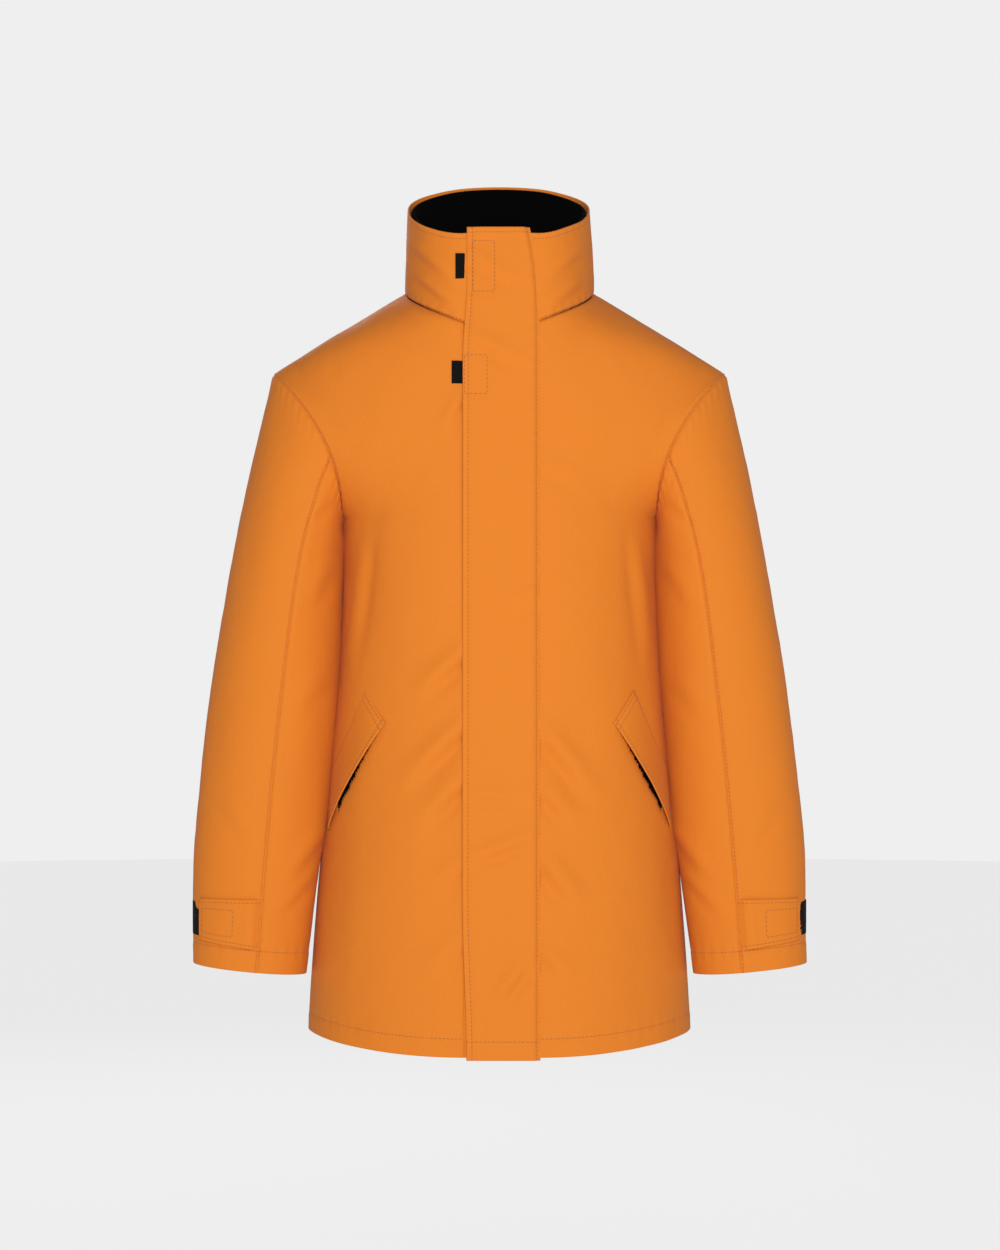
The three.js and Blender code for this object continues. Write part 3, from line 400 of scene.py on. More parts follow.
class Grid:
    """A sheet laid out on rows and columns, before and after its folds are put in."""

    def __init__(self, surface, columns, rows, facing, sign=1):
        self.columns, self.rows = np.asarray(columns, float), np.asarray(rows, float)
        self.u, self.v = np.meshgrid(self.columns, self.rows)
        self.base = surface(self.u, self.v)
        self.base[..., 0] *= sign
        self.facing = facing * sign
        self.normal = self.normals_of(self.base)
        self.outer, self.inner = self.base, self.base
        across = np.linalg.norm(np.diff(self.base, axis=1), axis=2)
        down = np.linalg.norm(np.diff(self.base, axis=0), axis=2)
        self.start = np.pad(np.cumsum(across, axis=1), ((0, 0), (1, 0)))
        self.end = self.start[:, -1:] - self.start
        self.top = np.pad(np.cumsum(down, axis=0), ((1, 0), (0, 0)))
        self.bottom = self.top[-1:] - self.top
        self.width, self.length = self.start[:, -1].max(), self.top[-1].max()
        cells = across[:-1] * (down[:, :-1] + down[:, 1:]) / 2
        self.area = min(cells.sum(), self.width * self.length)

    def normals_of(self, points):
        return unit(np.cross(np.gradient(points, axis=1), np.gradient(points, axis=0))) * self.facing

    def lift(self, out, thickness, closed_borders=()):
        """Puts the outer face out millimetres off the base and the inner one behind it, with
        the named borders rounded over like a turned edge."""
        out = np.broadcast_to(np.asarray(out, float), self.u.shape)
        back = out - thickness
        for border in closed_borders:
            radius = np.broadcast_to(np.asarray(thickness, float), self.u.shape) / 2
            near = np.clip(getattr(self, border) / radius, 0, 1)
            pull = radius * (1 - np.sqrt(np.maximum(1 - (1 - near) ** 2, 0)))
            out, back = out - pull, back + pull
        self.outer = self.base + self.normal * out[..., None]
        self.inner = self.base + self.normal * back[..., None]
        return self

    def line(self, border, offset, low=0.0, high=1.0):
        """Points and normals of a line that keeps a distance from a border."""
        distance = getattr(self, border)
        faces = self.normals_of(self.outer)
        both = np.concatenate([self.outer, faces], axis=2)
        if border in ("start", "end"):
            distance, both = distance.T, both.transpose(1, 0, 2)
        count = distance.shape[1]
        points = []
        for i in range(round(low * (count - 1)), round(high * (count - 1)) + 1):
            order = np.argsort(distance[:, i])
            if distance[order[-1], i] < offset:
                continue
            points.append([np.interp(offset, distance[order, i], both[order, i, n]) for n in range(6)])
        points = np.array(points)
        return points[:, :3], unit(points[:, 3:])

    def trace(self, us, vs):
        """Points and normals along a line given as the sheet's own columns and rows."""
        faces = self.normals_of(self.outer)
        both = np.concatenate([self.outer, faces], axis=2)
        i = np.clip(np.interp(us, self.columns, np.arange(len(self.columns))), 0, len(self.columns) - 1.001)
        order = np.argsort(self.rows)
        j = np.interp(vs, self.rows[order], np.arange(len(self.rows))[order])
        j = np.clip(j, 0, len(self.rows) - 1.001)
        a, b = i.astype(int), j.astype(int)
        s, t = (i - a)[:, None], (j - b)[:, None]
        found = lerp(lerp(both[b, a], both[b, a + 1], s), lerp(both[b + 1, a], both[b + 1, a + 1], s), t)
        return found[:, :3], unit(found[:, 3:])


def spaced(low, high, count, length=None, rims=(0.4, 1.0, 1.8, 3.0)):
    """Even steps, with closer ones at both ends where a turned edge needs them."""
    values = list(np.linspace(low, high, count))
    if length:
        for rim in rims:
            share = rim / length * (high - low)
            values += [low + share, high - share]
    return np.array(sorted(set(values)) if high > low else sorted(set(values), reverse=True))


def cloth_mesh(name, grids, material, keep=None):
    """A closed mesh of each grid's two faces, walled along every border and hole."""
    points, faces, flats, total = [], [], [], 0
    for grid in grids if isinstance(grids, list) else [grids]:
        made, flat, walls = closed_sheet(grid, keep)
        points.append(made)
        flats.append(flat)
        faces.append(walls + total)
        total += len(made)
    return new_piece(name, np.concatenate(points), np.concatenate(faces), material, np.concatenate(flats))


def closed_sheet(grid, keep=None):
    rows, columns = grid.u.shape
    count = rows * columns
    number = np.arange(count).reshape(rows, columns)
    quads = np.stack([number[:-1, :-1], number[:-1, 1:], number[1:, 1:], number[1:, :-1]], axis=-1)
    quads = quads[keep] if keep is not None else quads.reshape(-1, 4)
    if grid.facing < 0:
        quads = quads[:, ::-1]
    edges = np.concatenate([quads[:, [i, (i + 1) % 4]] for i in range(4)])
    codes = edges[:, 0] * count + edges[:, 1]
    alone = edges[~np.isin(edges[:, 1] * count + edges[:, 0], codes)]
    a, b = alone[:, 0], alone[:, 1]
    walls = np.stack([b, a, a + count, b + count], axis=-1)
    faces = np.concatenate([quads, quads[:, ::-1] + count, walls])
    points = np.concatenate([grid.outer.reshape(-1, 3), grid.inner.reshape(-1, 3)]) * MM
    used = np.unique(faces)
    renumber = np.full(2 * count, -1)
    renumber[used] = np.arange(len(used))
    flat = np.stack([grid.start - grid.start[:, -1:] / 2, -grid.top], axis=-1).reshape(-1, 2) * MM
    return points[used], np.concatenate([flat, flat])[used], renumber[faces]


def new_piece(name, points, faces, material, flat=None):
    """A smooth-shaded mesh piece. flat is each point's place on the cut cloth, in metres."""
    mesh = bpy.data.meshes.new(name)
    mesh.from_pydata(np.asarray(points).tolist(), [], [list(map(int, f)) for f in faces])
    mesh.polygons.foreach_set("use_smooth", np.ones(len(mesh.polygons), bool))
    if flat is not None:
        corners = np.zeros(len(mesh.loops), int)
        mesh.loops.foreach_get("vertex_index", corners)
        mesh.uv_layers.new(name="cut").data.foreach_set("uv", np.asarray(flat)[corners].ravel())
    mesh.materials.append(material)
    mesh.validate()
    piece = bpy.data.objects.new(name, mesh)
    bpy.context.scene.collection.objects.link(piece)
    return piece


def sewn_line(paths, length, gap, width):
    """Stitches along (points, normals) paths: the points and faces of one mesh, in millimetres."""
    turns = np.radians(np.arange(0, 360, 72))
    ring = np.stack([np.cos(turns), np.sin(turns)], axis=-1)
    along = np.array([-1, -0.7, 0, 0.7, 1]) * length / 2
    radius = np.array([0.2, 0.8, 1, 0.8, 0.2]) * width / 2
    points, faces = [], []
    for line, normals in paths:
        steps = np.linalg.norm(np.diff(line, axis=0), axis=1)
        places = np.concatenate([[0], np.cumsum(steps)])
        count = int(places[-1] // (length + gap))
        if count < 1:
            continue
        centres = (np.arange(count) + 0.5) * places[-1] / count
        middle, after, before, out = (
            np.stack([np.interp(centres + shift, places, values[:, n]) for n in range(3)], axis=-1)
            for values, shift in ((line, 0), (line, 0.4), (line, -0.4), (normals, 0))
        )
        out, forward = unit(out), unit(after - before)
        side = np.cross(out, forward)
        for i in range(count):
            first = 25 * len(points)
            body = [
                middle[i] + forward[i] * a + (side[i] * c[0] + out[i] * (c[1] * 0.8)) * r + out[i] * 0.08
                for a, r in zip(along, radius)
                for c in ring
            ]
            points.append(np.array(body))
            for j in range(4):
                for k in range(5):
                    a, b = first + 5 * j + k, first + 5 * j + (k + 1) % 5
                    faces.append((a, b, b + 5, a + 5))
            faces.append(tuple(first + k for k in (4, 3, 2, 1, 0)))
            faces.append(tuple(first + 20 + k for k in range(5)))
    return np.concatenate(points), faces


def stitches(name, paths, material, body):
    """The stitches along some lines of a sheet, as one piece that follows the sheet's body."""
    sizes = bpy.context.scene.parka_sizes
    points, faces = sewn_line(paths, sizes.stitch_length / MM, sizes.stitch_gap / MM, sizes.thread / MM)
    piece = new_piece(name, points * MM, faces, material)
    return follow(piece, body)


# ---- folds, as heights in millimetres over a sheet's points ----


def fold(points, start, end, width):
    """A soft fold of height 1 between two places seen from the front: a ridge with a hollow below it."""
    start, end = np.array(start, float), np.array(end, float)
    way = end - start
    length = np.linalg.norm(way)
    offset = points[..., [0, 2]] - start
    share = (offset @ way) / length**2
    across = (offset[..., 0] * way[1] - offset[..., 1] * way[0]) / length
    if way[0] < 0:
        across = -across
    swell = ease(share, -0.15, 0.3) * (1 - ease(share, 0.45, 1.15))
    return swell * (bell(across, width) - 0.8 * bell(across - 1.3 * width, width * 0.7))


def pucker(distance, along, height, pitch, reach, seed=0):
    """Small gathers across a seam, fading away from it."""
    wander = 3.1 * np.sin(along / (2.7 * pitch) + seed) + 1.7 * np.sin(along / (5.3 * pitch) + 2.3 * seed)
    return height * bell(distance, reach) * np.sin(2 * np.pi * along / pitch + wander)


def hang(points, seed):
    """The slow unevenness of cloth that hangs: long lumps that run mostly up and down."""
    long = points * [1, 1, 0.45]
    return 1.5 * cloud(long, 70, seed) + 0.7 * cloud(long, 31, seed + 7) + 0.22 * cloud(points, 13, seed + 3)


# ---- sizes and colours that a user may change ----


def srgb(code):
    """Turns a six-figure sRGB hex colour into linear red, green and blue."""
    parts = [int(code[i : i + 2], 16) / 255 for i in (1, 3, 5)]
    return tuple(c / 12.92 if c <= 0.04045 else ((c + 0.055) / 1.055) ** 2.4 for c in parts)


def length_property(name, description, default):
    return FloatProperty(name=name, description=description, default=default, min=0, unit="LENGTH", precision=4)


def colour_property(name, description, code):
    settings = {"size": 3, "subtype": "COLOR", "min": 0, "max": 1}
    return FloatVectorProperty(name=name, description=description, default=srgb(code), **settings)


class ParkaSizes(bpy.types.PropertyGroup):
    shell: length_property("Shell thickness", "Thickness of the shell cloth", 0.002)
    lining: length_property("Lining thickness", "Thickness of the quilted lining at the top of a puff", 0.005)
    quilt: length_property("Quilt spacing", "Distance between the lining's quilting lines", 0.06)
    stitch_length: length_property("Stitch length", "Length of a top stitch", 0.0032)
    stitch_gap: length_property("Stitch gap", "Gap between two top stitches", 0.0012)
    thread: length_property("Thread thickness", "Thickness of the sewing thread", 0.0008)
    tooth_pitch: length_property("Tooth pitch", "Distance between two zip teeth on one tape", 0.003)
    folds: FloatProperty(name="Folds", description="How deep the soft folds are", default=1, min=0, max=2)


class ParkaColours(bpy.types.PropertyGroup):
    shell: colour_property("Shell", "Dyed polyester shell cloth", "#D97A25")
    thread: colour_property("Thread", "Sewing thread on the shell", "#A35517")
    lining: colour_property("Lining", "Quilted nylon lining", "#0C0C0D")
    fleece: colour_property("Fleece", "Fleece inside the collar", "#040404")
    tape: colour_property("Tape", "Woven zip tape and hanger loop", "#18171A")
    hook: colour_property("Hook and loop", "Hook-and-loop tape", "#0B0807")
    plastic: colour_property("Zip teeth", "Moulded acetal teeth", "#17171A")
    metal: colour_property("Zip metal", "Coated zinc slider and stops", "#1B1C20")
    floor: colour_property("Floor", "Painted studio floor", "#EFEFEF")


# ---- materials ----


def add_node(tree, kind, settings=None, values=None, links=None):
    """Adds a node, sets its settings and socket values, and links its inputs to outputs."""
    made = tree.nodes.new(kind)
    for name, value in (settings or {}).items():
        setattr(made, name, value)
    for name, value in (values or {}).items():
        made.inputs[name].default_value = value
    for name, output in (links or {}).items():
        tree.links.new(output, made.inputs[name])
    return made


def start_material(name, colour, roughness, values=None):
    material = bpy.data.materials.new(name)
    material.use_nodes = True
    tree = material.node_tree
    shader = tree.nodes["Principled BSDF"]
    shader.inputs["Base Color"].default_value = (*colour, 1)
    shader.inputs["Roughness"].default_value = roughness
    for socket, value in (values or {}).items():
        shader.inputs[socket].default_value = value
    return material, tree, shader


def shade_between(tree, shader, colour, darker, lighter, factor):
    """Varies a base colour between two strengths of itself, by a 0 to 1 factor."""
    settings = {"data_type": "RGBA"}
    values = {6: (*[c * darker for c in colour], 1), 7: (*[min(c * lighter, 1) for c in colour], 1)}
    made = add_node(tree, "ShaderNodeMix", settings, values, {0: factor})
    tree.links.new(made.outputs[2], shader.inputs["Base Color"])


def spread(tree, factor, low, high):
    """Maps 0 to 1 onto low to high."""
    made = add_node(tree, "ShaderNodeMapRange", None, {"To Min": low, "To Max": high}, {"Value": factor})
    return made.outputs["Result"]


def threads(tree, pitch, tilt=0.0, wander=0.4):
    """Two crossing sets of threads a pitch apart in metres, on the cloth as it was cut."""
    cut = add_node(tree, "ShaderNodeUVMap", {"uv_map": "cut"})
    turned = add_node(tree, "ShaderNodeMapping", None, {"Rotation": (0, 0, tilt)}, {"Vector": cut.outputs["UV"]})
    scale = WAVE_PERIOD / pitch
    values = {"Scale": scale, "Distortion": wander, "Detail": 1.0, "Detail Scale": 0.4}
    sets = [
        add_node(tree, "ShaderNodeTexWave", {"bands_direction": way}, values, {"Vector": turned.outputs["Vector"]})
        for way in ("X", "Y")
    ]
    both = {0: sets[0].outputs["Fac"], 1: sets[1].outputs["Fac"]}
    over = add_node(tree, "ShaderNodeMath", {"operation": "MULTIPLY"}, None, both)
    either = add_node(tree, "ShaderNodeMath", {"operation": "MAXIMUM"}, None, both)
    pair = {0: over.outputs["Value"], 1: either.outputs["Value"]}
    return add_node(tree, "ShaderNodeMath", {"operation": "ADD"}, None, pair).outputs["Value"]


def bumps(tree, shader, layers):
    """Chains bump nodes on a shader: each layer is a height, its depth in metres and its strength."""
    normal = None
    for height, depth, strength in layers:
        links = {"Height": height}
        if normal is not None:
            links["Normal"] = normal
        made = add_node(tree, "ShaderNodeBump", None, {"Distance": depth, "Strength": strength}, links)
        normal = made.outputs["Normal"]
    tree.links.new(normal, shader.inputs["Normal"])


def lumps(tree, size, detail=3.0, roughness=0.5):
    """Noise over the piece with lumps about size metres across."""
    place = add_node(tree, "ShaderNodeTexCoord")
    values = {"Scale": 1 / size, "Detail": detail, "Roughness": roughness}
    links = {"Vector": place.outputs["Object"]}
    return add_node(tree, "ShaderNodeTexNoise", None, values, links).outputs["Fac"]


def kept(make):
    """Makes a material once, and gives the same one to every later caller."""

    def get():
        found = bpy.data.materials.get(make.__name__)
        return found or make(bpy.context.scene.parka_colours)

    return get


@kept
def coated_polyester_taslan(colours):
    # Plain-woven textured polyester with a thin inner coating: matt, with a faint cross grain.
    # Its threads lie 0.5 mm apart, and are drawn 2.6 mm apart so that the grain shows; the thicker
    # places in its yarn are drawn as flecks about 3 mm long for the same reason.
    values = {"Sheen Weight": 0.03, "Sheen Roughness": 0.5, "Specular IOR Level": 0.12}
    material, tree, shader = start_material("coated_polyester_taslan", colours.shell, 0.72, values)
    weave = threads(tree, 0.0026)
    patchy = lumps(tree, 0.09, 2.0)
    mottle = add_node(tree, "ShaderNodeMath", {"operation": "ADD"}, None, {0: weave, 1: patchy})
    slubs = {0: mottle.outputs["Value"], 1: lumps(tree, 0.0032, 3.0, 0.7)}
    mottle = add_node(tree, "ShaderNodeMath", {"operation": "ADD"}, None, slubs)
    shade_between(tree, shader, colours.shell, 0.8, 1.1, spread(tree, mottle.outputs["Value"], 0, 0.36))
    tree.links.new(spread(tree, weave, 0.66, 0.8), shader.inputs["Roughness"])
    crush = lumps(tree, 0.016, 4.0, 0.6)
    bumps(tree, shader, [(weave, 0.00012, 0.5), (crush, 0.0006, 0.3)])
    return material


@kept
def spun_polyester_thread(colours):
    # Three-ply sewing thread, a shade deeper than the cloth, with its twist showing as fine ridges.
    material, tree, shader = start_material("spun_polyester_thread", colours.thread, 0.6, {"Sheen Weight": 0.2})
    twist = lumps(tree, 0.0008, 2.0)
    shade_between(tree, shader, colours.thread, 0.85, 1.1, twist)
    bumps(tree, shader, [(twist, 0.0001, 0.5)])
    return material


@kept
def quilted_nylon_taffeta(colours):
    # Smooth nylon taffeta quilted over wadding: a low sheen on each puff and fine crushed creases.
    values = {"Sheen Weight": 0.05, "Specular IOR Level": 0.3}
    material, tree, shader = start_material("quilted_nylon_taffeta", colours.lining, 0.5, values)
    weave = threads(tree, 0.0012)
    shade_between(tree, shader, colours.lining, 0.8, 1.3, lumps(tree, 0.05, 2.0))
    bumps(tree, shader, [(weave, 0.00008, 0.4), (lumps(tree, 0.008, 4.0, 0.6), 0.0008, 0.5)])
    return material


@kept
def polyester_fleece(colours):
    # Brushed knitted fleece: short matt fibres that drink the light, clumped into small tufts.
    values = {"Sheen Weight": 0.004, "Sheen Roughness": 0.7, "Specular IOR Level": 0.03}
    material, tree, shader = start_material("polyester_fleece", colours.fleece, 1.0, values)
    tufts = lumps(tree, 0.003, 6.0, 0.7)
    shade_between(tree, shader, colours.fleece, 0.5, 1.6, tufts)
    bumps(tree, shader, [(tufts, 0.0012, 0.9)])
    return material


@kept
def woven_polyester_tape(colours):
    # Dense narrow-woven tape with a slanting rib, as on zips and hanger loops.
    material, tree, shader = start_material("woven_polyester_tape", colours.tape, 0.7, {"Sheen Weight": 0.05})
    rib = threads(tree, 0.0012, tilt=math.radians(45), wander=0.1)
    shade_between(tree, shader, colours.tape, 0.7, 1.5, rib)
    bumps(tree, shader, [(rib, 0.0002, 0.7)])
    return material


@kept
def nylon_hook_and_loop(colours):
    # Woven nylon ground with hooks or brushed loops standing on it: rough, matt and slightly brown.
    material, tree, shader = start_material("nylon_hook_and_loop", colours.hook, 0.9, {"Specular IOR Level": 0.15})
    place = add_node(tree, "ShaderNodeUVMap", {"uv_map": "cut"})
    pins = add_node(tree, "ShaderNodeTexVoronoi", None, {"Scale": 900.0}, {"Vector": place.outputs["UV"]})
    shade_between(tree, shader, colours.hook, 1.4, 0.6, pins.outputs["Distance"])
    bumps(tree, shader, [(pins.outputs["Distance"], -0.0006, 0.9), (lumps(tree, 0.0015, 3.0), 0.0004, 0.6)])
    return material


@kept
def plain_pocketing(colours):
    # Plain-woven polyester and cotton pocket cloth: dull black with a visible thread.
    material, tree, shader = start_material("plain_pocketing", colours.lining, 0.9, {"Specular IOR Level": 0.2})
    weave = threads(tree, 0.0014)
    shade_between(tree, shader, colours.lining, 0.6, 1.1, weave)
    bumps(tree, shader, [(weave, 0.00015, 0.6)])
    return material


@kept
def moulded_acetal(colours):
    # Injection-moulded acetal: satin black with a faint waxy unevenness from the tool.
    material, tree, shader = start_material("moulded_acetal", colours.plastic, 0.38)
    shader.inputs["IOR"].default_value = 1.48
    waxy = lumps(tree, 0.004, 2.0)
    tree.links.new(spread(tree, waxy, 0.32, 0.46), shader.inputs["Roughness"])
    shade_between(tree, shader, colours.plastic, 0.85, 1.2, waxy)
    bumps(tree, shader, [(waxy, 0.0001, 0.3)])
    return material


@kept
def coated_zinc_casting(colours):
    # Die-cast zinc with a black electrophoretic coat: satin, with a fine orange peel.
    values = {"Metallic": 0.6, "Coat Weight": 0.3, "Coat Roughness": 0.25}
    material, tree, shader = start_material("coated_zinc_casting", colours.metal, 0.35, values)
    peel = lumps(tree, 0.0012, 3.0)
    tree.links.new(spread(tree, peel, 0.28, 0.45), shader.inputs["Roughness"])
    shade_between(tree, shader, colours.metal, 0.8, 1.5, lumps(tree, 0.006, 3.0))
    bumps(tree, shader, [(peel, 0.00006, 0.4)])
    return material


@kept
def painted_studio_floor(colours):
    # Matt white emulsion on a seamless sweep, evenly lit, with the faint mottle of a roller.
    material, tree, shader = start_material("painted_studio_floor", colours.floor, 0.95)
    shade_between(tree, shader, colours.floor, 0.1, 0.105, lumps(tree, 0.6, 2.0))
    shader.inputs["Specular IOR Level"].default_value = 0.0
    shader.inputs["Emission Color"].default_value = (*colours.floor, 1)
    shader.inputs["Emission Strength"].default_value = FLOOR_GLOW
    return material


# ---- how pieces follow the bodies ----


def follow(piece, body):
    """Ties a piece to its body; a piece of a sleeve, the storm flap or a cuff tab only has its place baked into its
    points.
    """
    if body.startswith("sleeve"):
        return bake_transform(piece)
    if body == "storm_flap":
        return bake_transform(piece)
    if body.startswith("cuff_tab"):
        seam, inside = (sleeve_point(angle, TAB_MIDDLE) * MM for angle in (TAB_START, TAB_START - TAB_BEND))
        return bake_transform(piece)
    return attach(piece, body)


def finish_cloth(piece, grid, body, node, rests_on=("collar_outer",)):
    """Ties a cloth piece to its body, and hides the frame's part that it stands for."""
    list(rests_on)
    follow(piece, body)
    if node:
        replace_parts(piece, node)
    return piece


# ---- shared shapes ----


def away_from(distance, reach=2.2):
    """0 at a seam, rising to 1 away from it."""
    return 1 - bell(distance, reach)


def soften_shoulder(grid):
    """Rounds the turn between chest and shoulder, and leaves the borders where they are."""
    hold = ease(np.minimum(grid.start, grid.end), 0, 30) * bell(grid.v - 1, 0.4)
    for _ in range(260):
        middle = (grid.base[:-2] + grid.base[2:]) / 2
        grid.base[1:-1] = lerp(grid.base[1:-1], middle, 0.6 * hold[1:-1, :, None])
    grid.normal = grid.normals_of(grid.base)
    return grid


def facing_front(grid, low=0.15, high=0.6):
    return ease(-grid.normal[..., 1], low, high)


def front_height(grid, side):
    """How far the front stands off its pattern: full between the seams, with soft folds."""
    sizes = bpy.context.scene.parka_sizes
    inner = np.minimum(grid.end, np.minimum(grid.top, grid.bottom + 30))
    free = ease(inner, 0, 26) * ease(grid.start, 0, 14)
    height = 1.2 * away_from(grid.end) * away_from(grid.top) * away_from(grid.start, 2.5)
    height = height + 1.3 * sizes.folds * free * hang(grid.base, 11 if side == "left" else 23)
    for start, end, rise, width in FRONT_FOLDS[side]:
        height = height + sizes.folds * rise * fold(grid.base, start, end, width) * facing_front(grid)
    armhole = (grid.v > 1) & (grid.v < 2.02)
    height = height + pucker(grid.end, grid.top, 0.35, 13, 9) * armhole
    height = height + pucker(grid.start, grid.top, 0.22, 17, 8, 2.0) * (grid.v > 1)
    return height + hem_height(grid)


def hem_height(grid, turned=HEM_TURNED):
    """The turned-up hem: a step where it is stitched, with slight drag lines across it."""
    step = -0.7 * bell(grid.bottom - turned, 1.6) + 0.5 * (1 - ease(grid.bottom, turned - 1, turned + 3))
    return step + pucker(grid.bottom - turned, grid.start, 0.28, 15, 9, 1.3)


def panel_rows(shoulder, armhole, side, last=3, length=583):
    """Rows of a body panel, given how many lie along its shoulder, its armhole and its side."""
    parts = (np.linspace(HIGH_POINT, 1, shoulder)[:-1], np.linspace(1, 2, armhole)[:-1], spaced(2, last, side, length))
    return np.concatenate(parts)


def armhole_line(grid, shoulder, armhole, _side):
    """The line stitched beside the armhole of a body panel."""
    high, low = (count / len(grid.rows) for count in (shoulder, shoulder + armhole - 2))
    return grid.line("end", 3.2, high, low)


class PARKA_OT_fronts(bpy.types.Operator):
    """Makes both front panels, the strips beside the zip and their top stitching"""

    bl_idname = "parka.fronts"
    bl_label = "Front panels"
    bl_options = {"REGISTER", "UNDO"}

    def execute(self, context):
        sizes = context.scene.parka_sizes
        cloth = coated_polyester_taslan()
        thickness = sizes.shell / MM
        for side, sign in SIDES:
            counts = (54, 66, 176)
            across = spaced(0, 1, 76, 190, (0.7, 1.5, 2.6))
            grid = soften_shoulder(Grid(front_surface, across, panel_rows(*counts), -1, sign))
            grid.lift(front_height(grid, side), thickness, ("bottom",))
            piece = cloth_mesh(f"front_cloth_{side}", grid, cloth, slit_mask(grid))
            finish_cloth(piece, grid, "coat", f"front_panel_{side}")
            seams = [grid.line("bottom", HEM_TURNED, 0.02, 0.99), armhole_line(grid, *counts)]
            stitches(f"front_stitches_{side}", seams, spun_polyester_thread(), "coat")
            across, up = spaced(ZIP_WINDOW, FLAT_HALF, 12, 30), spaced(NECK_UP, HEM_UP, 200, 790)
            strip = Grid(on_placket, across, up, -1, sign)
            height = 0.5 * away_from(strip.end, 2) + pucker(strip.start - 6, strip.top, 0.15, 11, 5)
            strip.lift(height, thickness, ("start", "bottom"))
            piece = cloth_mesh(f"zip_facing_{side}", strip, cloth)
            rests = (f"front_panel_{side}",)
            finish_cloth(piece, strip, "coat", f"placket_strip_{side}", rests_on=rests)
            edges = [strip.line("start", 5), strip.line("end", 2.5)]
            stitches(f"zip_facing_stitches_{side}", edges, spun_polyester_thread(), "coat")
        return {"FINISHED"}


def slit_mask(grid):
    """The faces that stay when the pocket's slit is cut."""
    middle = (grid.base[:-1, :-1] + grid.base[1:, 1:]) / 2
    place = np.stack([np.abs(middle[..., 0]), middle[..., 2]], axis=-1)
    top_outer, top_inner, low_inner, low_outer = (np.array(c, float) for c in WELT_CORNERS)
    along = np.full(place.shape[:-1], 0.5)
    for _ in range(12):
        sewn, free = (lerp(a, b, along[..., None]) for a, b in ((top_outer, low_outer), (top_inner, low_inner)))
        across = np.clip(((place - sewn) * (free - sewn)).sum(-1) / ((free - sewn) ** 2).sum(-1), -2, 3)
        a, b = lerp(top_outer, top_inner, across[..., None]), lerp(low_outer, low_inner, across[..., None])
        along = np.clip(((place - a) * (b - a)).sum(-1) / ((b - a) ** 2).sum(-1), -2, 3)
    inside = (along > SLIT_ENDS[0]) & (along < SLIT_ENDS[1]) & (across > SLIT_SIDES[0]) & (across < SLIT_SIDES[1])
    return ~inside


class PARKA_OT_back(bpy.types.Operator):
    """Makes the back in two halves, joined down the middle, with its hem stitching"""

    bl_idname = "parka.back"
    bl_label = "Back panel"
    bl_options = {"REGISTER", "UNDO"}

    def execute(self, context):
        sizes = context.scene.parka_sizes
        halves = []
        counts = (50, 62, 160)
        for _, sign in SIDES:
            grid = Grid(back_surface, spaced(0, 1, 84), panel_rows(*counts), 1, sign)
            free = ease(np.minimum(grid.end, grid.top), 0, 30)
            height = 1.2 * away_from(grid.end) * away_from(grid.top)
            height = height + 1.1 * sizes.folds * free * hang(grid.base, 41)
            sway = grid.base[..., 2] + 470
            ripple = np.sin(sway / 26 + 0.011 * np.abs(grid.base[..., 0]) ** 1.2)
            height = height + 1.6 * free * ripple * bell(sway, 80)
            armhole = (grid.v > 1) & (grid.v < 2.02)
            height = height + pucker(grid.end, grid.top, 0.35, 13, 9) * armhole + hem_height(grid)
            grid.lift(height, sizes.shell / MM, ("bottom",))
            halves.append(grid)
        piece = cloth_mesh("back_cloth", halves, coated_polyester_taslan())
        finish_cloth(piece, Whole(halves), "coat", "back_panel")
        paths = []
        for grid in halves:
            paths += [grid.line("bottom", HEM_TURNED, 0.01, 0.99), armhole_line(grid, *counts)]
        stitches("back_stitches", paths, spun_polyester_thread(), "coat")
        return {"FINISHED"}


class Whole:
    """Two halves of one cut piece, for its flat size."""

    def __init__(self, halves):
        self.width = sum(grid.width for grid in halves)
        self.length = max(grid.length for grid in halves)
        self.area = sum(grid.area for grid in halves)


def quilted(grid, thickness, spacing):
    """Thickness of a lining quilted in upright rows and diamonds, thin along each quilting line."""
    a = (grid.start + grid.top) / spacing
    b = (grid.start - grid.top) / spacing
    puff = np.sqrt(np.abs(np.sin(np.pi * a) * np.sin(np.pi * b)))
    return thickness * (0.3 + 0.7 * puff)


def lining_depth(grid):
    """How deep the front lining lies: it stands off the shell where the pocket bag hangs."""
    angle = 90 * grid.u
    top, low = row_at(BAG_Z[0] + BAG_CLEAR_Z), row_at(BAG_Z[1] - BAG_CLEAR_Z)
    room = ease(grid.v, 2, top) * (1 - ease(grid.v, low, 3))
    room = room * ease(angle, 0, BAG_ANGLES[0] - BAG_CLEAR_ANGLE)
    room = room * (1 - ease(angle, BAG_ANGLES[1] + BAG_CLEAR_ANGLE, 90))
    return LINING_NEAR + (BAG_FAR + 1 - LINING_NEAR) * room


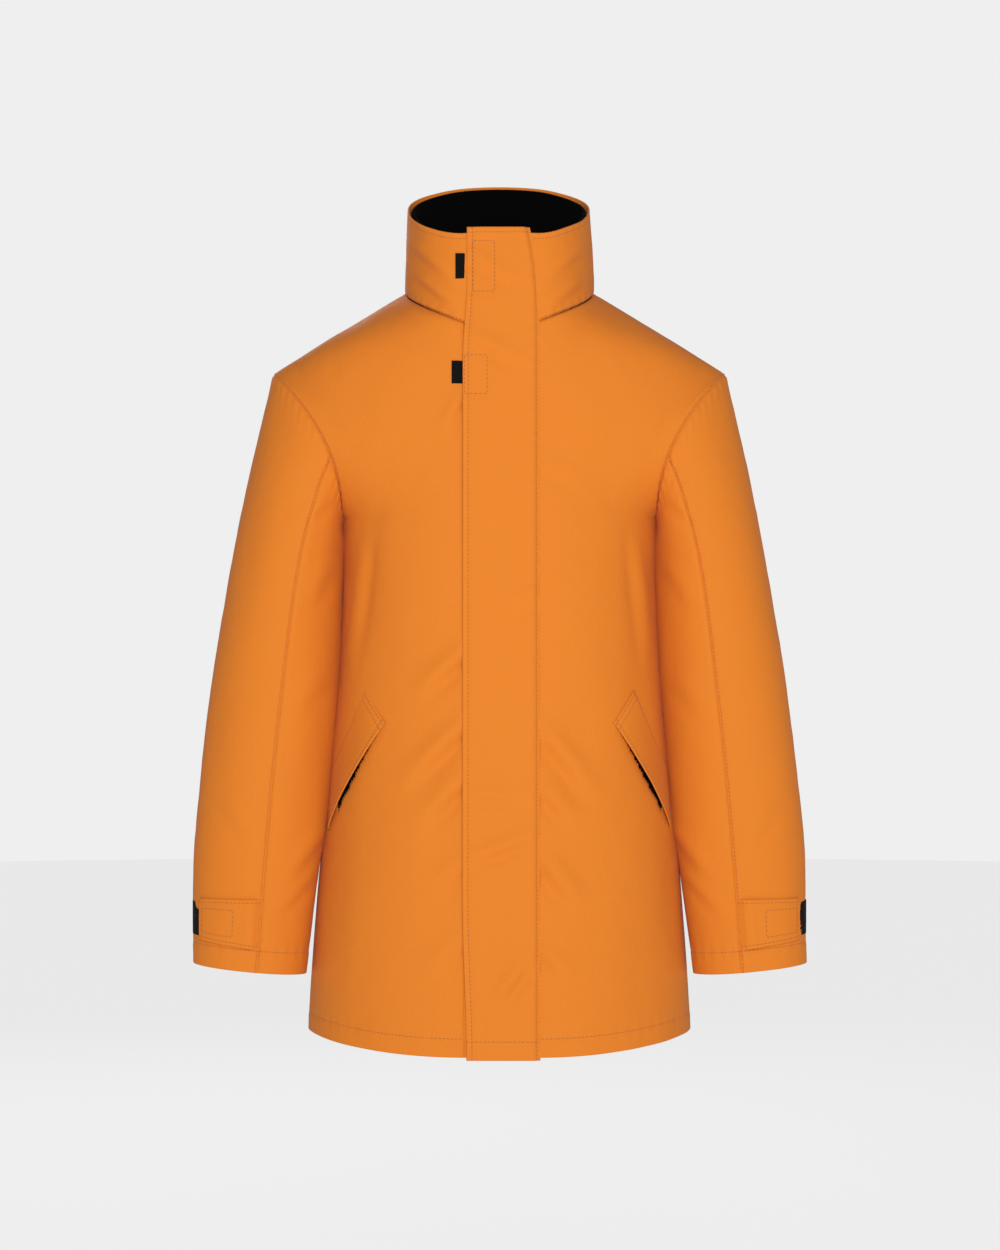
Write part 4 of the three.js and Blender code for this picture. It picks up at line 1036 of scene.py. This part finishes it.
class PARKA_OT_linings(bpy.types.Operator):
    """Makes the quilted linings of the fronts, back and sleeves"""

    bl_idname = "parka.linings"
    bl_label = "Quilted linings"
    bl_options = {"REGISTER", "UNDO"}

    def execute(self, context):
        sizes = context.scene.parka_sizes
        cloth = quilted_nylon_taffeta()
        thickness, spacing = sizes.lining / MM, sizes.quilt / MM * math.sqrt(2)
        last = 3 - LINING_HEM / (UNDERARM_Z - HEM_FRONT_Z)
        rows = panel_rows(34, 42, 110, last, 550)
        backs = []
        for side, sign in SIDES:
            grid = soften_shoulder(Grid(front_surface, spaced(0, 1, 44, 190, (1.0,)), rows, -1, sign))
            depth = lining_depth(grid)
            near = front_height(grid, side) * ease(depth, 8, 3)
            grid.lift(np.minimum(near, 1) - depth, quilted(grid, thickness, spacing), ("start", "bottom"))
            piece = cloth_mesh(f"front_quilted_lining_{side}", grid, cloth)
            node = f"front_lining_{side}"
            finish_cloth(piece, grid, "coat", node, rests_on=(f"front_panel_{side}",))
            grid = Grid(back_surface, spaced(0, 1, 48), rows, 1, sign)
            grid.lift(-LINING_NEAR, quilted(grid, thickness, spacing), ("bottom",))
            backs.append(grid)
            for (name, low, high), count in zip(SLEEVE_PARTS, (60, 44)):
                end = 1 - LINING_CUFF / SLEEVE_LENGTH
                grid = Grid(sleeve_point, np.linspace(low, high, count), spaced(0, end, 120, 630), 1, sign)
                lines = 0.35 + 0.65 * np.sqrt(np.abs(np.sin(np.pi * grid.top / spacing * 1.4)))
                reach = ease(grid.top, 0, 14)
                grid.lift(-LINING_NEAR, 0.75 * thickness * lines * (0.4 + 0.6 * reach), ("bottom",))
                piece = cloth_mesh(f"{name}_sleeve_quilted_lining_{side}", grid, cloth)
                node = f"{name}_sleeve_lining_{side}"
                rests = (f"{name}_sleeve_{side}",)
                finish_cloth(piece, grid, f"sleeve_{side}", node, rests_on=rests)
        piece = cloth_mesh("back_quilted_lining", backs, cloth)
        finish_cloth(piece, Whole(backs), "coat", "back_lining", rests_on=("back_panel",))
        return {"FINISHED"}


class PARKA_OT_collar(bpy.types.Operator):
    """Makes the stand collar, its fleece lining and its stitching"""

    bl_idname = "parka.collar"
    bl_label = "Collar"
    bl_options = {"REGISTER", "UNDO"}

    def execute(self, context):
        sizes = context.scene.parka_sizes
        grid = wavy_rim(Grid(collar_surface, spaced(0, 1, 240, 560), spaced(1, 0, 44, 105), -1))
        around = np.minimum(grid.start, grid.end)
        height = 1.7 * away_from(grid.bottom, 2.6) * ease(around, 0, 20)
        height = height + 0.8 * sizes.folds * ease(grid.bottom, 0, 20) * ease(around, 20, 70) * hang(grid.base, 71)
        for start, end, rise, width in COLLAR_FOLDS:
            height = height + rise * fold(grid.base, start, end, width) * facing_front(grid, 0, 0.3)
        height = height + pucker(grid.bottom, grid.start, 0.4, 14, 10) * ease(around, 20, 50)
        height = height - 2.2 * (1 - ease(grid.bottom, 0, 2.6)) * ease(around, 0, 20)
        from_stitch = grid.top - EDGE_TURNED
        height = height - 0.5 * bell(from_stitch, 1.6) + pucker(from_stitch, grid.start, 0.2, 12, 6)
        grid.lift(height, sizes.shell / MM, ("top", "start", "end"))
        piece = cloth_mesh("collar_cloth", grid, coated_polyester_taslan())
        finish_cloth(piece, grid, "coat", "collar_outer", rests_on=("back_panel",))
        paths = [grid.line("top", EDGE_TURNED, 0.09, 0.91), grid.line("bottom", 3, 0.09, 0.91)]
        stitches("collar_stitches", paths, spun_polyester_thread(), "coat")
        start = FLAT_ROUND * 13 / (FLAT_HALF - ZIP_WINDOW)
        top = 1 - 2.5 / (RIM_FRONT_Z + NECK_DROP)
        fleece = wavy_rim(Grid(collar_surface, spaced(start, 1 - start, 150, 560), spaced(top, 0, 34, 105), -1))
        nap = 0.5 * cloud(fleece.base, 5, 5) + 0.4 * cloud(fleece.base, 17, 6)
        near = np.minimum(height_at(grid, height, fleece), 0.6) - LINING_NEAR
        fleece.lift(near, FLEECE_THICKNESS + nap, ("top", "start", "end"))
        piece = cloth_mesh("collar_fleece_lining", fleece, polyester_fleece())
        finish_cloth(piece, fleece, "coat", "collar_lining", rests_on=("collar_outer",))
        return {"FINISHED"}


def wavy_rim(grid):
    """Lets a collar's rim rise and dip a little, and lean in and out."""
    reach = ease(grid.v, 0.3, 1)
    grid.base[..., 2] += 1.8 * reach * cloud(grid.base * [1, 1, 0], 46, 19)
    grid.base[..., 0] += 1.2 * reach * cloud(grid.base * [1, 1, 0], 60, 29)
    grid.normal = grid.normals_of(grid.base)
    return grid


def height_at(grid, height, other):
    """One grid's heights, read at the columns and rows of another on the same surface."""
    across = np.array([np.interp(other.columns, grid.columns, row) for row in height])
    order = np.argsort(grid.rows)
    return np.array([np.interp(other.rows, grid.rows[order], column[order]) for column in across.T]).T


def tape(name, grid, body, node, rests_on):
    """A pad or strip of hook-and-loop tape."""
    piece = cloth_mesh(name, grid, nylon_hook_and_loop())
    return finish_cloth(piece, grid, body, node, rests_on)


class PARKA_OT_flap(bpy.types.Operator):
    """Makes the storm flap with its stitching, and the hook-and-loop pads under it"""

    bl_idname = "parka.flap"
    bl_label = "Storm flap"
    bl_options = {"REGISTER", "UNDO"}

    def execute(self, context):
        sizes = context.scene.parka_sizes
        grid = Grid(flap_surface, spaced(0, 1, 42, 84), spaced(1, 0, 300, 900), -1)
        seam = lerp(1.2 - FLAP_FRONT, 0, ease(grid.end, 0.5, 8))
        free = ease(grid.end, 6, 20) * ease(grid.start, 0, 10)
        height = seam + sizes.folds * free * 0.55 * hang(grid.base, 31)
        from_stitch = grid.start - EDGE_TURNED
        height = height - 0.45 * bell(from_stitch, 1.5) - 0.4 * bell(grid.end - 4, 1.5)
        height = height + pucker(from_stitch, grid.top, 0.18, 14, 6) + pucker(grid.end - 5, grid.top, 0.3, 15, 6, 1)
        height = height - (1.3 + 0.5 * np.sin(grid.top / 61 + 0.6)) * bell(grid.start, 9)
        for start, end, rise, width in FLAP_FOLDS:
            height = height + sizes.folds * rise * fold(grid.base, start, end, width)
        for left, right, low, high in FLAP_BOXES:
            beside = np.maximum(np.maximum(left - grid.base[..., 0], grid.base[..., 0] - right), 0)
            beyond = np.maximum(np.maximum(low - grid.base[..., 2], grid.base[..., 2] - high), 0)
            height = height - 0.7 * bell(np.hypot(beside, beyond), 4)
        thickness = sizes.shell / MM + FLAP_LAYERS
        grid.lift(height, thickness, ("top", "bottom", "start", "end"))
        piece = cloth_mesh("storm_flap_cloth", grid, coated_polyester_taslan())
        rests = ("front_panel_left", "front_panel_right")
        finish_cloth(piece, grid, "storm_flap", "storm_flap", rests_on=rests)
        paths = [grid.line("start", EDGE_TURNED), grid.line("end", 4), grid.line("top", EDGE_TURNED)]
        paths += [grid.line("bottom", HEM_TURNED)]
        for left, right, low, high in FLAP_BOXES:
            corners = ((left, high), (right, high), (right, low), (left, low), (left, high))
            for (x0, z0), (x1, z1) in zip(corners, corners[1:]):
                share = np.linspace(0, 1, 24)
                x, up = lerp(x0, x1, share), up_for(lerp(z0, z1, share))
                across = (x - FLAP_EDGE_X) / (flap_seam_x(up) - FLAP_EDGE_X)
                paths.append(grid.trace(across, (up - FLAP_LOW) / FLAP_TALL))
        stitches("storm_flap_stitches", paths, spun_polyester_thread(), "storm_flap")
        for name, middle, tall, left, edge in PADS:
            rests = ("collar_outer",) if name == "collar" else ("placket_strip_right",)
            high, low = up_for(middle) + tall / 2, up_for(middle) - tall / 2
            across = spaced(left, PAD_RIGHT, 20, 39, FINE_RIM)
            loops = Grid(on_placket, across, spaced(high, low, 18, tall, FINE_RIM), -1)
            proud = LOOP_PROUD * (1 - ease(loops.u, edge - 6.5, edge - 0.5))
            loops.lift(1.2 + proud + 0.08 * cloud(loops.base, 1.3, 3), 0.9 + proud, BORDERS)
            tape(f"{name}_loop_tape", loops, "coat", f"{name}_loop_pad", rests)
            seam_x = flap_seam_x(up_for(middle))
            columns = [(x - FLAP_EDGE_X) / (seam_x - FLAP_EDGE_X) for x in (HOOK_LEFT, PAD_RIGHT)]
            top, end = ((up - FLAP_LOW) / FLAP_TALL for up in (high + 4, low - 4))
            rows = spaced(top, end, 18, tall + 8, FINE_RIM)
            hooks = Grid(flap_surface, spaced(*columns, 14, 21, FINE_RIM), rows, -1)
            behind = height_at(grid, height, hooks) - thickness
            hooks.lift(behind + 0.3 + 0.06 * cloud(hooks.base, 1.3, 3), 1.1, BORDERS)
            tape(f"{name}_hook_tape", hooks, "storm_flap", f"{name}_hook_pad", rests)
        return {"FINISHED"}


class PARKA_OT_sleeves(bpy.types.Operator):
    """Makes the two-piece sleeves and their stitching"""

    bl_idname = "parka.sleeves"
    bl_label = "Sleeves"
    bl_options = {"REGISTER", "UNDO"}

    def execute(self, context):
        sizes = context.scene.parka_sizes
        cloth = coated_polyester_taslan()
        for side, sign in SIDES:
            rows = spaced(0, 1, 210, 665)
            for (name, low, high), count in zip(SLEEVE_PARTS, (110, 70)):
                across = spaced(low, high, count, (high - low) * 1.15, (0.8, 1.7))
                grid = Grid(sleeve_point, across, rows, 1, sign)
                height = self.height(grid, sizes, sign)
                grid.lift(height, sizes.shell / MM, ("bottom",))
                piece = cloth_mesh(f"{name}_sleeve_cloth_{side}", grid, cloth)
                node = f"{name}_sleeve_{side}"
                finish_cloth(piece, grid, f"sleeve_{side}", node, rests_on=("back_panel",))
                paths = [grid.line("bottom", CUFF_TURNED)]
                if name == "upper":
                    paths += [grid.line("end", 3), grid.line("start", 3)]
                stitches(f"{name}_sleeve_stitches_{side}", paths, spun_polyester_thread(), f"sleeve_{side}")
        return {"FINISHED"}

    def height(self, grid, sizes, sign):
        """How far a sleeve piece stands off its pattern, with its folds and its turned cuff."""
        seams = away_from(grid.start) * away_from(grid.end) * away_from(grid.top)
        free = ease(np.minimum(grid.start, grid.end), 0, 22) * ease(grid.top, 0, 40)
        height = 1.3 * seams + sizes.folds * free * hang(grid.base, 53 if sign > 0 else 67)
        height = height + pucker(grid.top, grid.start, 0.5, 15, 14) * ease(grid.top, 0, 3)
        near = np.minimum(grid.start, grid.end)
        height = height + pucker(near, grid.top, 0.28, 17, 9, 0.7)
        for start, end, rise, width in SLEEVE_FOLDS:
            start, end = ((sign * x, z) for x, z in (start, end))
            height = height + sizes.folds * rise * fold(grid.base, start, end, width) * facing_front(grid, 0, 0.3)
        inner_side = bell(np.abs(grid.u) - 180, 34) * ease(grid.v, 0.04, 0.12) * (1 - ease(grid.v, 0.7, 0.82))
        from_stitch = grid.bottom - CUFF_TURNED
        hem = -0.6 * bell(from_stitch, 1.6) + 0.4 * (1 - ease(from_stitch, -1, 3))
        return height + 4.2 * inner_side + hem + pucker(from_stitch, grid.start, 0.3, 15, 9)


class PARKA_OT_cuffs(bpy.types.Operator):
    """Makes the cuff tabs with their stitching, hooks and loop strips"""

    bl_idname = "parka.cuffs"
    bl_label = "Cuff tabs"
    bl_options = {"REGISTER", "UNDO"}

    def execute(self, context):
        sizes = context.scene.parka_sizes
        for side, sign in SIDES:
            grid = Grid(tab_surface, spaced(0, 1, 46, 80), spaced(0, 1, 34, 50), -1, sign)
            height = PAD_STACK + TAB_THICKNESS - 3.4 * (1 - ease(grid.start, 0, 8))
            height = height + 0.4 * cloud(grid.base, 24, 9) * ease(grid.start, 6, 20)
            height = height + 0.9 * bell(grid.start - 13, 5)
            edge = np.minimum(np.minimum(grid.top, grid.bottom), grid.end)
            height = height - 0.35 * bell(edge - 4, 1.3)
            grid.lift(height, sizes.shell / MM, BORDERS)
            piece = cloth_mesh(f"cuff_tab_cloth_{side}", grid, coated_polyester_taslan())
            rests = (f"upper_sleeve_{side}",)
            node = f"cuff_tab_{side}"
            finish_cloth(piece, grid, node, node, rests)
            paths = [grid.line("top", 4), grid.line("bottom", 4), grid.line("end", 4)]
            share = np.linspace(0, 1, 16)
            for (u0, v0), (u1, v1) in zip(TAB_BOX, TAB_BOX[1:]):
                paths.append(grid.trace(lerp(u0, u1, share), lerp(v0, v1, share)))
            stitches(f"cuff_tab_stitches_{side}", paths, spun_polyester_thread(), node)
            hook = Grid(tab_surface, spaced(0.45, 0.97, 20), spaced(0.14, 0.86, 20), -1, sign)
            hook.lift(2.3 + 0.06 * cloud(hook.base, 1.3, 4), 0.8, BORDERS)
            tape(f"cuff_hook_tape_{side}", hook, node, f"cuff_tab_hook_{side}", rests)
            across, down = spaced(0, 1, 60, 150, FINE_RIM), spaced(0, 1, 18, LOOP_HEIGHT, FINE_RIM)
            strip = Grid(loop_strip_surface, across, down, -1, sign)
            strip.lift(1.7 + 0.08 * cloud(strip.base, 1.3, 5), 1.2, BORDERS)
            tape(f"cuff_loop_tape_{side}", strip, f"sleeve_{side}", f"cuff_loop_strip_{side}", rests)
        return {"FINISHED"}


class PARKA_OT_pockets(bpy.types.Operator):
    """Makes the slanted welts, their stitching and the pocket bags behind them"""

    bl_idname = "parka.pockets"
    bl_label = "Pockets"
    bl_options = {"REGISTER", "UNDO"}

    def execute(self, context):
        sizes = context.scene.parka_sizes
        for side, sign in SIDES:
            grid = Grid(welt_surface, spaced(0, 1, 70, 150), spaced(0, 1, 26, 42), -1, sign)
            bow = np.sin(np.pi * grid.u) ** 0.7
            height = 0.6 + sizes.shell / MM + WELT_STANDOFF * bow * grid.v**1.5
            height = height - 1.4 * (1 - ease(grid.top, 0, 5)) - 0.4 * bell(grid.bottom - 5, 1.4)
            height = height + 0.35 * cloud(grid.base, 20, 13) * ease(grid.top, 2, 12)
            height = height - 0.5 * bell(grid.start - 4, 1.5) - 0.3 * bell(grid.start - 10, 1.5)
            grid.lift(height, sizes.shell / MM, BORDERS)
            piece = cloth_mesh(f"pocket_welt_cloth_{side}", grid, coated_polyester_taslan())
            node, rests = f"pocket_welt_{side}", (f"front_panel_{side}",)
            finish_cloth(piece, grid, "coat", node, rests_on=rests)
            paths = [grid.line("start", 3), grid.line("start", 9), grid.line("top", 3), grid.line("bottom", 5)]
            stitches(f"pocket_stitches_{side}", paths, spun_polyester_thread(), "coat")
            bag = Grid(front_by_angle, np.linspace(*BAG_ANGLES, 50), np.linspace(*BAG_Z, 70), -1, sign)
            edge = np.minimum(np.minimum(bag.start, bag.end), np.minimum(bag.top, bag.bottom))
            depth = lerp(3.3, BAG_FAR - 1.6, ease(edge, 0, 16)) + 0.5 * cloud(bag.base, 26, 15) * ease(edge, 8, 20)
            bag.lift(-depth, BAG_THICKNESS)
            piece = cloth_mesh(f"pocket_bag_cloth_{side}", bag, plain_pocketing())
            finish_cloth(piece, bag, "coat", f"pocket_bag_{side}", rests_on=rests)
        return {"FINISHED"}


class PARKA_OT_zip(bpy.types.Operator):
    """Makes the zip's tapes and teeth, and finishes its metal parts"""

    bl_idname = "parka.zip"
    bl_label = "Zip"
    bl_options = {"REGISTER", "UNDO"}

    def execute(self, context):
        sizes = context.scene.parka_sizes
        low, high = HEM_UP + TAPE_ABOVE_HEM, RIM_UP - TAPE_BELOW_RIM
        for side, sign in SIDES:
            across = spaced(TAPE_INNER, TAPE_OUTER, 12, 13, (0.2,))
            down = spaced(high, low, 180, 830, (0.3,))
            grid = Grid(lambda x, up: on_placket(x, up, -TAPE_DEPTH), across, down, -1, sign)
            grid.lift(0.05 * cloud(grid.base, 2, 8), TAPE_THICKNESS, BORDERS)
            piece = cloth_mesh(f"zip_tape_cloth_{side}", grid, woven_polyester_tape())
            finish_cloth(piece, grid, "coat", f"zip_tape_{side}", rests_on=(f"placket_strip_{side}",))
            self.teeth(side, sign, low + 14, high - 4.5, sizes.tooth_pitch / MM)
        for node in ("zip_pin", "zip_box", "zip_slider", "zip_puller", "zip_top_stop_left", "zip_top_stop_right"):
            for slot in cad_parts[node].material_slots:
                slot.material = coated_zinc_casting()
        return {"FINISHED"}

    def teeth(self, side, sign, low, high, pitch):
        """One moulded tooth, copied up the tape; the two sides stand half a pitch apart."""
        shift = 0 if sign > 0 else pitch / 2
        place = on_placket(sign * TOOTH_X, low + pitch / 2 + shift, -TOOTH_DEPTH) * MM
        bpy.ops.object.select_all(action="DESELECT")
        lean = math.atan(FRONT_LEAN)
        size = (TOOTH_WIDTH * MM, TOOTH_THICKNESS * MM, TOOTH_SHARE * pitch * MM)
        bpy.ops.mesh.primitive_cube_add(size=1, location=place, rotation=(-lean, 0, 0), scale=size)
        tooth = bpy.context.active_object
        tooth.name = tooth.data.name = f"zip_tooth_row_{side}"
        bpy.ops.object.transform_apply(location=True, rotation=True, scale=True)
        bpy.ops.object.mode_set(mode="EDIT")
        bpy.ops.mesh.select_all(action="SELECT")
        bpy.ops.mesh.bevel(offset=TOOTH_BEVEL * MM, segments=1)
        bpy.ops.object.mode_set(mode="OBJECT")
        row = tooth.modifiers.new("row", "ARRAY")
        row.count = int((high - low - pitch) / pitch)
        row.use_relative_offset = False
        row.use_constant_offset = True
        row.constant_offset_displace = PLACKET_UP * pitch * MM
        bpy.ops.object.modifier_apply(modifier="row")
        tooth.data.materials.append(moulded_acetal())
        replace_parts(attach(tooth, "coat"), f"zip_teeth_{side}")


class PARKA_OT_hanger(bpy.types.Operator):
    """Makes the hanger loop inside the back neck"""

    bl_idname = "parka.hanger"
    bl_label = "Hanger loop"
    bl_options = {"REGISTER", "UNDO"}

    def execute(self, context):
        half, inner = HANGER_SPAN / 2, HANGER_SPAN / 2 - HANGER_BAND
        top = NECK_RISE + HANGER_RISE
        low = top - HANGER_SAG
        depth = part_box("hanger_loop")[0].y / MM

        def bent(share, reach, bottom):
            """A U from one end of the band to the other."""
            near = np.abs(2 * share - 1)
            x = np.sign(2 * share - 1) * reach * (1 - (1 - near) ** 2)
            return x, bottom + (top - bottom) * near**2

        def surface(along, across):
            outer = bent(along, half, low - HANGER_BAND)
            within = bent(along, inner, low)
            return stack(lerp(outer[0], within[0], across), depth, lerp(outer[1], within[1], across))

        grid = Grid(surface, spaced(0, 1, 90), spaced(0, 1, 14, 9, (0.3,)), 1)
        grid.lift(0.05 * cloud(grid.base, 2, 12), HANGER_THICKNESS, ("top", "bottom"))
        piece = cloth_mesh("hanger_tape", grid, woven_polyester_tape())
        finish_cloth(piece, grid, "hanger_loop", "hanger_loop", rests_on=("collar_lining",))
        return {"FINISHED"}


class PARKA_OT_stage(bpy.types.Operator):
    """Sets the pale floor, the soft studio lights, the sky and the camera"""

    bl_idname = "parka.stage"
    bl_label = "Stage"
    bl_options = {"REGISTER", "UNDO"}

    def execute(self, context):
        bpy.ops.object.select_all(action="DESELECT")
        place = (0, 0, FLOOR_Z)
        bpy.ops.mesh.primitive_circle_add(vertices=96, radius=FLOOR_RADIUS, fill_type="NGON", location=place)
        floor = context.active_object
        floor.name = "studio_floor"
        bpy.ops.object.transform_apply(location=True, rotation=True, scale=True)
        floor.data.materials.append(painted_studio_floor())
        world = bpy.data.worlds.new("soft_studio")
        world.use_nodes = True
        tree = world.node_tree
        glow = add_node(tree, "ShaderNodeBackground", None, {"Color": (1, 1, 1, 1), "Strength": AMBIENT})
        paper = add_node(tree, "ShaderNodeBackground", None, {"Color": (*srgb(PAPER), 1), "Strength": 1.0})
        path = add_node(tree, "ShaderNodeLightPath")
        links = {0: path.outputs["Is Camera Ray"], 1: glow.outputs[0], 2: paper.outputs[0]}
        both = add_node(tree, "ShaderNodeMixShader", None, None, links)
        tree.links.new(both.outputs[0], tree.nodes["World Output"].inputs["Surface"])
        context.scene.world = world
        for name, place, aim, power, size in LIGHTS:
            light = bpy.data.lights.new(name, "AREA")
            light.energy, light.size = power, size
            lamp = bpy.data.objects.new(name, light)
            context.scene.collection.objects.link(lamp)
            lamp.location = place
            way = Vector(aim) - Vector(place)
            lamp.rotation_euler = way.to_track_quat("-Z", "Y").to_euler()
        camera = bpy.data.objects.new("front_camera", bpy.data.cameras.new("front_camera"))
        camera.data.lens, camera.data.sensor_width = CAMERA_LENS, CAMERA_SENSOR
        camera.location = CAMERA_PLACE
        camera.rotation_euler = (math.pi / 2, 0, 0)
        context.scene.collection.objects.link(camera)
        context.scene.camera = camera
        context.scene.view_settings.view_transform = "Standard"
        return {"FINISHED"}


OPERATORS = (
    PARKA_OT_fronts,
    PARKA_OT_back,
    PARKA_OT_linings,
    PARKA_OT_collar,
    PARKA_OT_flap,
    PARKA_OT_sleeves,
    PARKA_OT_cuffs,
    PARKA_OT_pockets,
    PARKA_OT_zip,
    PARKA_OT_hanger,
    PARKA_OT_stage,
)


class PARKA_PT_panel(bpy.types.Panel):
    """Lists the coat's pieces, sizes and colours in the sidebar"""

    bl_idname = "PARKA_PT_panel"
    bl_label = "Work parka"
    bl_space_type = "VIEW_3D"
    bl_region_type = "UI"
    bl_category = "Parka"

    def draw(self, context):
        for group in (context.scene.parka_sizes, context.scene.parka_colours):
            for name in group.bl_rna.properties.keys():
                if name not in ("rna_type", "name"):
                    self.layout.prop(group, name)
        for operator in OPERATORS:
            self.layout.operator(operator.bl_idname)


CLASSES = (ParkaSizes, ParkaColours, *OPERATORS, PARKA_PT_panel)


def register():
    for cls in CLASSES:
        bpy.utils.register_class(cls)
    bpy.types.Scene.parka_sizes = PointerProperty(type=ParkaSizes)
    bpy.types.Scene.parka_colours = PointerProperty(type=ParkaColours)


def unregister():
    del bpy.types.Scene.parka_colours
    del bpy.types.Scene.parka_sizes
    for cls in reversed(CLASSES):
        bpy.utils.unregister_class(cls)


def main():
    register()
    bpy.ops.parka.fronts()
    bpy.ops.parka.back()
    bpy.ops.parka.linings()
    bpy.ops.parka.collar()
    bpy.ops.parka.flap()
    bpy.ops.parka.sleeves()
    bpy.ops.parka.cuffs()
    bpy.ops.parka.pockets()
    bpy.ops.parka.zip()
    bpy.ops.parka.hanger()
    bpy.ops.parka.stage()


if __name__ == "__main__":
    main()
